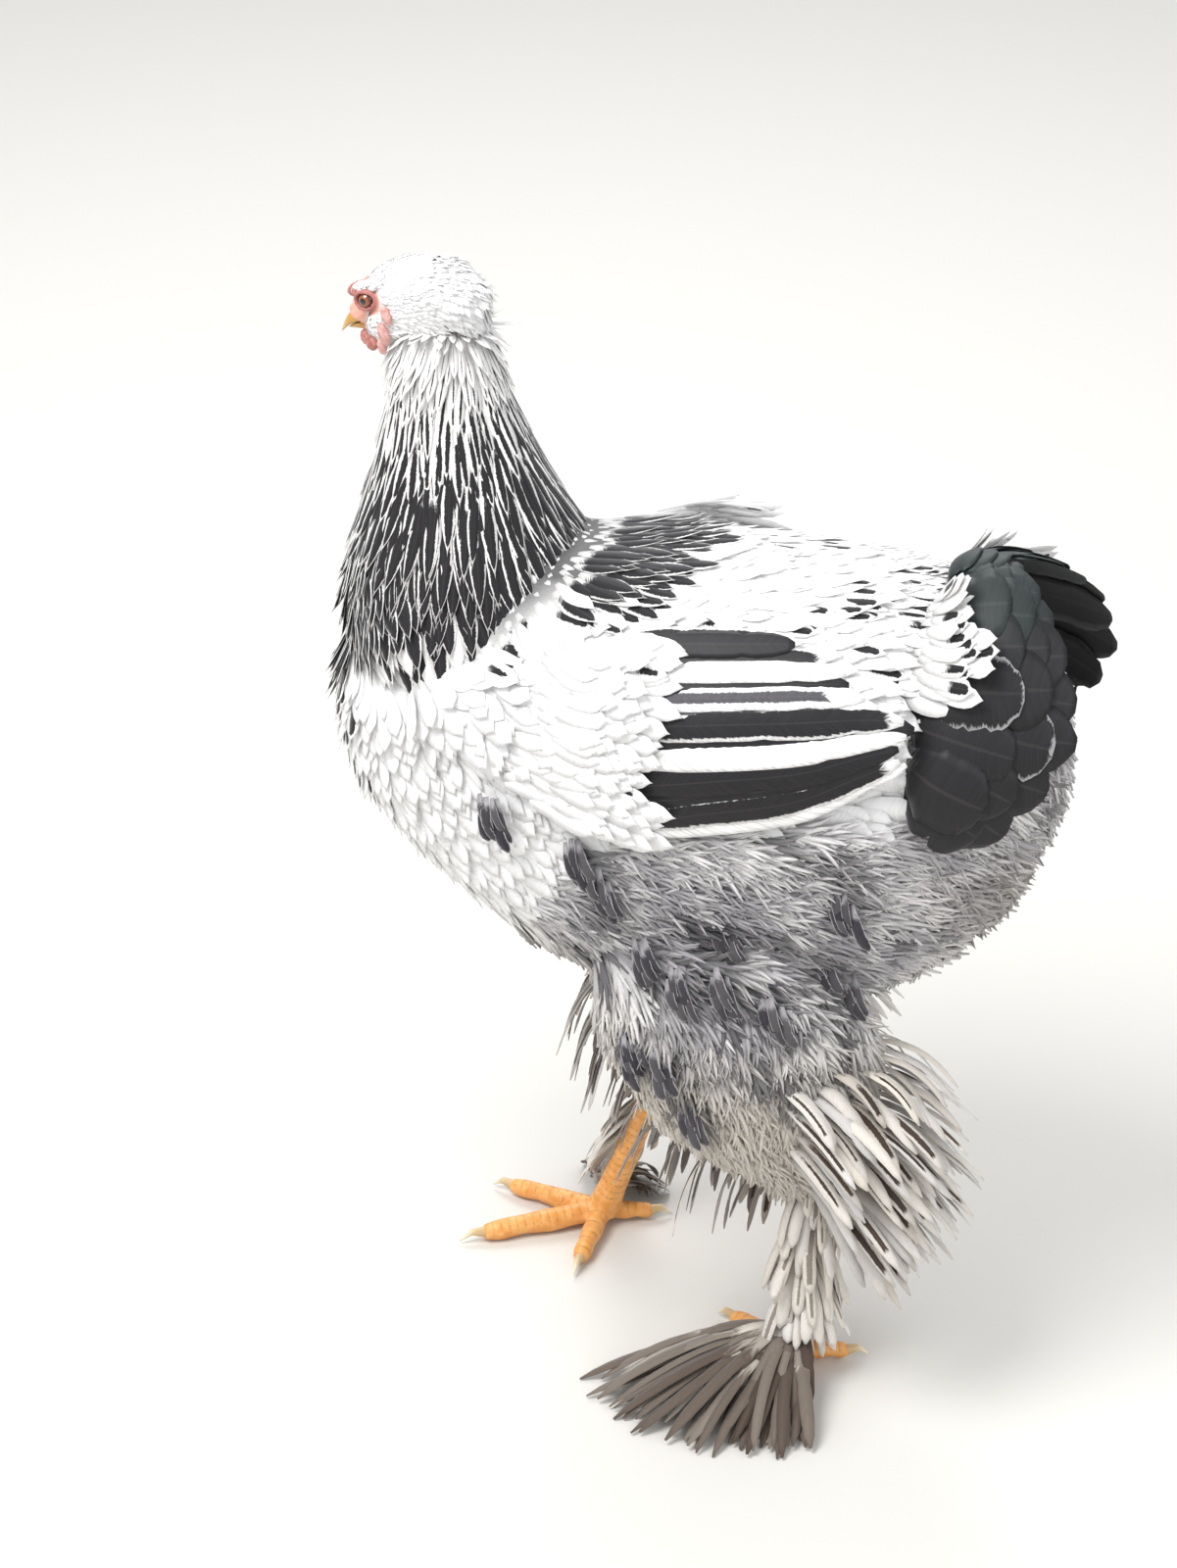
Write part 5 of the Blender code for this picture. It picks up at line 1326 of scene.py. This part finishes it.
# wings
wingShape = {
    "flights": (  # where it starts down the wing, where its tip lies, half width, kind
        (0.02, 78, 0.0, 6, "edged"), (0.07, 90, 0.03, 7, "black"), (0.14, 106, 0.10, 6.5, "edged"),
        (0.20, 116, 0.16, 6.0, "white"), (0.26, 118, 0.22, 7, "black"), (0.33, 126, 0.29, 6.5, "barred"),
        (0.40, 133, 0.35, 7.0, "barred"), (0.47, 145, 0.43, 8, "edged"), (0.54, 150, 0.49, 9, "black"),
        (0.62, 147, 0.56, 6.0, "white"), (0.68, 146, 0.61, 7, "edged"), (0.76, 144, 0.67, 7.5, "black"),
        (0.84, 142, 0.73, 7.5, "edged"), (0.91, 145, 0.79, 7, "edged"), (0.96, 148, 0.85, 5.5, "white"),
    ),
    "rise": 0.3, "covertEnd": 17, "covertSpacing": 4.6,
}
featherKinds = {  # dark centre: half width, start, share
    "black": (1.3, 0.0, 1.0), "white": (0.2, 0.3, 0.0), "barred": (0.42, 0.05, 1.0),
    "edged": (0.82, 0.0, 1.0),
}


def wingPlace(sign):
    def place(us, vs, heights):
        return wingPoint(np.asarray(us), np.asarray(vs), np.asarray(heights)) * (sign, 1, 1)
    return place


def bedGrid(place, us, vs, heights, out):
    # a plain sheet over a surface, facing outward, on which feathers are scattered
    points = np.concatenate([place(us, v + 0 * us, h) for v, h in zip(vs, heights)])
    faces = gridFaces(len(vs), len(us), False)
    sheet = meshObject("sheet", points, faces)
    sheet.data.update()
    _, n = places(sheet.data)
    if np.mean(n @ np.asarray(out, float)) < 0:
        sheet.data.flip_normals()
    return sheet


def covertCoat(p, n):
    # white coverts, pointing straight back, with a few dark tips among them
    info = coatAt(p, n)
    lie = np.stack([0 * p[:, 0], 1 + 0 * p[:, 0], -0.1 + 0.12 * wobble(p, 17)], -1)
    info["lie"] = unit(lie - n * np.sum(lie * n, -1, keepdims=True))
    info["size"] = np.tile((5.2, 30, 1.8), (len(p), 1))
    info["light"] = np.tile(tone["white"], (len(p), 1))
    info["mark"] = np.stack([0 * p[:, 0] + 0.3, 0 * p[:, 0] + 0.5, 0.10 * ramp(p[:, 1], -10, 10)], -1)
    return info


def buildWing(side, sign):
    vanes, place, flights = Vanes("flights_" + side), wingPlace(sign), wingShape["flights"]
    t = np.linspace(0, 1, 26)
    for k, (start, tip, end, half, kind) in enumerate(flights):
        if sign < 0 and k < 6:
            continue
        height = (0.4 + wingShape["rise"] * (len(flights) - 1 - k) + 0.5 * (k % 2)) * np.minimum(1, 3 * t)
        sway = draw.uniform(-0.02, 0.02) * np.sin(np.pi * t)
        down = start + (end - start) * t ** 1.5 + sway
        line = surfaceLine(place, 2 + (tip - 2) * t, down, height, (sign, 0, 0.3))
        light = mixed(tone["white"], tone["lace"], 0.5)
        dark = mixed(tone["slate"], tone["fluff"], 0.15) if kind == "barred" else tone["black"]
        vanes.add(line, half * vaneTaper(t, 0.7), light, dark, featherKinds[kind], 0.07)
    return vanes.build("along", plumageGloss)


def buildCoverts(side, sign):
    us, vs = np.linspace(-46, wingShape["covertEnd"], 24), np.linspace(0.02, 0.97, 22)
    tall = wingShape["rise"] * (len(wingShape["flights"]) - 1)
    heights = [-3.6 + ramp(us, -40, 6) * (4.6 + tall * (1 - v)) for v in vs]
    sheet = bedGrid(wingPlace(sign), us, vs, heights, (sign, 0, 0.3))
    edge = lambda p: p[:, 1] < wingShape["covertEnd"] - 5 + 7 * wobble(np.abs(p) * (1, 0, 1), 6, 5)
    spacing = wingShape["covertSpacing"]
    coat = growCoat("coverts_" + side, sheet, edge, "body", spacing, "along", 12, covertCoat)
    bpy.data.objects.remove(sheet)
    return coat


# tail
def tailSurface(out, down):
    rootY = 144.0
    angle = 90 - 86 * down
    root = trunkPoint(rootY + 0 * down, angle, -4)
    tip = curveRows(tailTips, down)
    return root + (tip - root) * out[:, None]


def tailPlace(us, vs, heights):
    us, vs, heights = (np.zeros(np.shape(us)) + q for q in (us, vs, heights))
    sign, down = np.where(vs < 0, -1.0, 1.0), np.abs(vs)
    here, along, below = tailSurface(us, down), tailSurface(us + 0.02, down), tailSurface(us, down + 0.02)
    normal = unit(np.cross(below - here, along - here))
    point = here + normal * (heights + 6 * np.sin(np.pi * np.clip(us, 0, 1)))[:, None]
    return np.stack([np.maximum(point[:, 0], 0) * sign, point[:, 1], point[:, 2]], -1)


def rumpCoat(p, n):
    # white feathers over the tail's root, many with a black spot
    info = coatAt(p, n)
    lie = np.stack([0.1 * np.sign(p[:, 0]), 0.9 + 0 * p[:, 0], 0.02 - 0.5 * ramp(-p[:, 2], -420, -330)], -1)
    lie += 0.16 * np.stack([wobble(p, 9, 1), wobble(p, 9, 4), wobble(p, 9, 9)], -1)
    info["lie"] = unit(lie - n * np.sum(lie * n, -1, keepdims=True))
    info["size"] = np.tile((5.4, 27, 1.6), (len(p), 1))
    lacy = ramp(wobble(p, 13), -0.5, 0.5)[:, None]
    info["light"] = mixed(np.tile(tone["white"], (len(p), 1)), tone["lace"], lacy)
    odd = 0.25 + 0.4 * ramp(p[:, 1], 150, 175)
    info["mark"] = np.stack([0.5 + 0 * odd, 0.45 + 0 * odd, odd], -1)
    return info


tailShape = {
    "tiers": ((8, 1.0, 18.0, 0.5), (7, 0.88, 19.0, 2.2), (6, 0.70, 19.0, 4.0)),
    "rootSpacing": 4.4,
    # how far the white feathers reach at each place from the ridge out to the edge
    "rootEdge": ((0, 0.35), (0.2, 0.55), (0.45, 0.75), (0.6, 0.5), (0.68, 0), (1, 0)),
}


def buildTail():
    vanes = Vanes("tailFeathers")
    t = np.linspace(0, 1, 22)
    for tier, (count, end, half, lift) in enumerate(tailShape["tiers"]):
        for k in range(count):
            down = 0.09 + 0.86 * (k + 0.4 * (tier % 2)) / (count - 0.6)
            for sign in (1, -1):
                tip = end * draw.uniform(0.93, 1.02)
                height = (lift + 0.8 * (k % 2)) * np.minimum(1, 2.5 * t) - 3 * (1 - np.minimum(1, 3 * t))
                sweep = down + draw.uniform(-0.02, 0.03) * t ** 2
                line = surfaceLine(tailPlace, tip * t, sign * sweep, height, (sign, 0, 0.6))
                wide = np.minimum(half * draw.uniform(0.85, 1.1) * vaneTaper(t, 0.5), 85 * down)
                laced = tier >= 1 and down < 0.7 and draw.uniform() < 0.2
                dark = mixed(tone["teal"], tone["black"], ramp(down, 0.2, 0.5))
                mark = (0.92, 0.0, 1.0) if laced else (1.3, 0.0, 1.0)
                vanes.add(line, wide, tone["greyLace"], dark, mark, 0.10)
    for end, lift, half in ((0.98, 3.0, 12), (0.84, 4.6, 12.5), (0.68, 6.4, 12.5)):
        height = lift * np.minimum(1, 2.5 * t) - 3 * (1 - np.minimum(1, 3 * t))
        centre = tailPlace(end * t, 0.001 + 0 * t, height) * (0, 1, 1)
        wide = half * vaneTaper(t, 0.5)
        vanes.add(framed(centre, (0, -0.5, 1)), wide, tone["greyLace"], tone["teal"], (1.3, 0, 1), 0.25)
    return vanes.build("along", plumageGloss)


def buildRump():
    coatsMade = []
    for side, sign in (("left", 1), ("right", -1)):
        us, vs = np.linspace(-0.06, 0.34, 22), sign * np.linspace(0.14, 0.96, 30)
        heights = [3.2 + 19 * us for _ in vs]
        sheet = bedGrid(tailPlace, us, vs, heights, (sign * 0.7, 0, 0.5))
        share = np.tile((us + 0.06) / 0.4, len(vs))
        limit = np.repeat(np.interp(np.abs(vs), *zip(*tailShape["rootEdge"])), len(us))
        edge = lambda p: share + 0.16 * wobble(p, 7, 2) < limit
        rump = growCoat("rump_" + side, sheet, edge, "body", tailShape["rootSpacing"], "along", 14, rumpCoat)
        coatsMade.append(rump)
        bpy.data.objects.remove(sheet)
    return coatsMade


def thighPoint(side, z, angle, out=0.0):
    x, y, across, along = thighAt[side](z)
    c, s = math.cos(math.radians(angle)), math.sin(math.radians(angle))
    return np.array((x + (across + out) * c, y + (along + out) * s, z))


hockTiers = (  # height, number, length, fall, turn towards the inner side
    (200, 17, 44, 24, 0), (182, 22, 54, 26, 0), (164, 25, 60, 32, 0), (146, 27, 62, 40, 0),
    (128, 25, 54, 46, 0), (152, 16, 26, 44, 150), (138, 18, 22, 52, 150), (124, 14, 20, 44, 150),
)


def buildHock(side):
    # long stiff striped feathers that trail from the thigh's rear over the hock
    vanes = Vanes("hockFeathers_" + side)
    t = np.linspace(0, 1, 14)
    for height, number, length, fall, inner in hockTiers:
        for k in range(number):
            s = k / (number - 1)
            angle = inner + (25 + 110 * s) if side == "left" else inner + (45 + 110 * s)
            root = thighPoint(side, height + draw.uniform(-7, 7), angle + draw.uniform(-3, 3), -8)
            out = np.array((math.cos(math.radians(angle)), math.sin(math.radians(angle)), 0))
            back = unit(out * 0.5 + (0, 0.75 - 0.006 * inner, 0))
            long = length * draw.uniform(0.72, 1.08)
            tip = root + back * long - (0, 0, fall * draw.uniform(0.85, 1.15))
            middle = (root + tip) / 2 + (0, 0, 7) + out * 2 + draw.uniform(-1.5, 1.5, 3)
            centre = freeLine(root, middle, tip, 14)
            light = mixed(tone["cream"], tone["paleFluff"], draw.uniform())
            dark = mixed(tone["brown"], tone["black"], draw.uniform(0, 0.5))
            # some brown on every feather is its own random tone; the extra brown on the inner feathers,
            # between the legs, is painted shade
            light = mixed(light, tone["brown"], draw.uniform(0.1, 0.8) if inner else draw.uniform(0, 0.3))
            mark = (draw.uniform(0.2, 0.6), draw.uniform(0.1, 0.4), 1.0 if draw.uniform() < 0.5 else 0.0)
            wide = draw.uniform(2.2, 3.8) * vaneTaper(t, 0.4)
            vanes.add(framed(centre, unit(out + (0, 0, 0.8))), wide, light, dark, mark, 0.15, 3, 0.3)
    return vanes.build((50 if side == "left" else -50, 66 if side == "left" else 8, 60, 150), plumageSoft)


footShape = {
    "left": {
        "cover": (-40, 220), "number": 19, "fan": (27, 112, 112, 78, 52),
        "shank": (
            (-0.1, 34, 12), (0.06, 40, 15), (0.22, 42, 18), (0.38, 42, 20), (0.54, 38, 21), (0.7, 28, 20),
        ),
    },
    "right": {
        "cover": (150, 300), "number": 13, "fan": (-62, -128, 58, 46, 30),
        "shank": ((0.2, 34, 12), (0.36, 36, 14), (0.52, 34, 16)),
    },
}


def buildFootFeathers(side):
    # feathers down the shank's outer side and the fan that spreads over the outer toes
    vanes, shape = Vanes("footFeathers_" + side), footShape[side]
    foot = np.array(legs[side][1], float)
    drop = unit(shankLine(side, 1)[0] - shankLine(side, 0)[0])
    first, last = shape["cover"]
    t = np.linspace(0, 1, 12)
    for tier, (start, length, flare) in enumerate(shape["shank"]):
        for k in range(shape["number"]):
            angle = math.radians(first + (last - first) * (k + 0.5 * (tier % 2)) / (shape["number"] - 0.5))
            out = np.array((math.cos(angle), math.sin(angle), 0))
            root = shankLine(side, start + draw.uniform(-0.07, 0.07))[0] + out * 5.0
            tip = root + drop * length * draw.uniform(0.7, 1.1) + out * flare * draw.uniform(0.7, 1.15)
            tip += np.array((-out[1], out[0], 0)) * draw.uniform(-4, 4)
            centre = freeLine(root, (root + tip) / 2 + out * 4, tip, 12)
            mark = (draw.uniform(0.2, 0.5), 0.1, 1.0 if draw.uniform() < 0.4 else 0.0)
            light = mixed(tone["cream"], tone["paleFluff"], draw.uniform(0, 0.7))
            wide = draw.uniform(2.2, 3.6) * vaneTaper(t)
            vanes.add(framed(centre, out), wide, light, tone["warmGrey"], mark, 0.2, 3, 0.3)
    begin, end, long, short, number = shape["fan"]
    for row in range(2):
        for k in range(number):
            s = (k + 0.5 * row) / (number - 0.5)
            heading = math.radians(begin + (end - begin) * s)
            out = np.array((math.sin(heading), -math.cos(heading), 0))
            reach = (long + (short - long) * s ** 1.5) * draw.uniform(0.8, 1.03) * (1.0, 0.72)[row]
            layer = (k % 4) * 0.9 + row * 2.8
            root = foot + out * 4 + (0, 0, 20 + layer)
            tip = foot + out * reach + (0, 0, 1.0 + layer)
            centre = freeLine(root, (root + tip) / 2 + (0, 0, 8.0) + draw.uniform(-3.5, 3.5, 3), tip, 14)
            centre[:, 2] = np.maximum(centre[:, 2], 0.8)
            dark = mixed(tone["brown"], tone["warmGrey"], draw.uniform(0.0, 0.8))
            light = mixed(tone["cream"], tone["warmGrey"], draw.uniform(0, 1))
            mark = (1.3, draw.uniform(0.1, 0.45), 1.0 if draw.uniform() < 0.85 else 0.0)
            out = unit(out + np.array((-out[1], out[0], 0)) * draw.uniform(-0.2, 0.2))
            wide = draw.uniform(2.2, 3.8) * vaneTaper(np.linspace(0, 1, 14), 0.5)
            vanes.add(framed(centre, (0, 0, 1)), wide, light, dark, mark, 0.1, 3, 0.3)
    return vanes.build((foot[0], foot[1], -10, 160), plumageSoft)


spotShape = {"feathers": 8, "half": (1.9, 3.2), "long": 19, "proud": 2.6}


def buildSpots():
    # small dark feathers that lie over the grey fluff of flanks and thighs
    vanes, v = Vanes("flankSpots"), spotShape
    t = np.linspace(0, 1, 8)
    for spot in slateSpots:
        for sign in (1, -1):
            out = unit(np.array((sign, 0, -0.12)))
            for _ in range(v["feathers"]):
                start = np.array(spot) * (sign, 1, 1) + draw.uniform(-5.5, 5.5, 3) * (0.2, 1, 1)
                start = start + (0, -4, 8) + out * v["proud"]
                tip = start + np.array((0, draw.uniform(4, 11), -v["long"] * draw.uniform(0.7, 1.1)))
                line = freeLine(start - out * 5, (start + tip) / 2 + out, tip, 8)
                dark = mixed(tone["slate"], tone["darkFluff"], draw.uniform(0, 0.7))
                wide = draw.uniform(*v["half"]) * vaneTaper(t, 0.5)
                vanes.add(framed(line, out), wide, tone["fluff"], dark, (0.9, 0.2, 1), 0.1, 3, 0.25)
    return vanes.build("along", plumageSoft)


sides = (("left", 1), ("right", -1))
longFeathers = [buildSpots()] + [buildWing(*side) for side in sides] + [buildCoverts(*side) for side in sides]
longFeathers += [buildTail()] + buildRump()
longFeathers += [buildHock(side) for side, _ in sides] + [buildFootFeathers(side) for side, _ in sides]

# which piece stands for which solids
skins = joined("skin", [bodySkin, headSkinObject])
skins.data.materials.append(skinPaint)
skins.data.shade_smooth()
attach(skins, "root")
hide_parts("torso", "neck", "head", "tail", "wing_left", "wing_right", "thigh_left", "thigh_right")
for coat in coats + longFeathers:
    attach(coat, "root")

# floor, light and the photograph's view
def sceneSetting():
    mesh = bpy.data.meshes.new("floor")
    mesh.from_pydata([(-6, -6, 0), (6, -6, 0), (6, 6, 0), (-6, 6, 0)], [], [(0, 1, 2, 3)])
    floor = bpy.data.objects.new("floor", mesh)
    bpy.context.scene.collection.objects.link(floor)
    material, tree, surface = newMaterial("floor_matt")
    surface.inputs["Base Color"].default_value = rgba("d9d6d0")
    surface.inputs["Roughness"].default_value = 0.9
    mesh.materials.append(material)
    world = bpy.data.worlds.new("softRoom")
    world.use_nodes = True
    back = next(n for n in world.node_tree.nodes if n.type == "BACKGROUND")
    back.inputs["Color"].default_value = rgba("e8ebf0")
    back.inputs["Strength"].default_value = 0.92
    bpy.context.scene.world = world
    bpy.context.scene.view_settings.view_transform = "Standard"
    centre = Vector((-0.033, -0.045, 0.278)) + Vector(birdShift)
    for name, azimuth, elevation, far, size, power in (
        ("keyLight", 60, 58, 1.9, 1.1, 34), ("fillLight", 150, 30, 2.2, 1.6, 12),
        ("rimLight", -70, 45, 2.0, 1.0, 16),
    ):
        a, e = math.radians(azimuth), math.radians(elevation)
        away = Vector((math.sin(a) * math.cos(e), -math.cos(a) * math.cos(e), math.sin(e)))
        lamp = bpy.data.lights.new(name, "AREA")
        lamp.shape, lamp.size, lamp.energy = "DISK", size, power
        made = bpy.data.objects.new(name, lamp)
        made.location = centre + away * far
        made.rotation_euler = away.to_track_quat("Z", "Y").to_euler()
        bpy.context.scene.collection.objects.link(made)
    a, e = math.radians(108), math.radians(29)
    away = Vector((math.sin(a) * math.cos(e), -math.cos(a) * math.cos(e), math.sin(e)))
    lens = bpy.data.cameras.new("photoView")
    lens.lens, lens.sensor_fit, lens.sensor_height, lens.sensor_width = 108, "VERTICAL", 36, 36
    camera = bpy.data.objects.new("photoView", lens)
    camera.location = centre + away * 2.4
    camera.rotation_euler = away.to_track_quat("Z", "Y").to_euler()
    bpy.context.scene.collection.objects.link(camera)
    bpy.context.scene.camera = camera


sceneSetting()
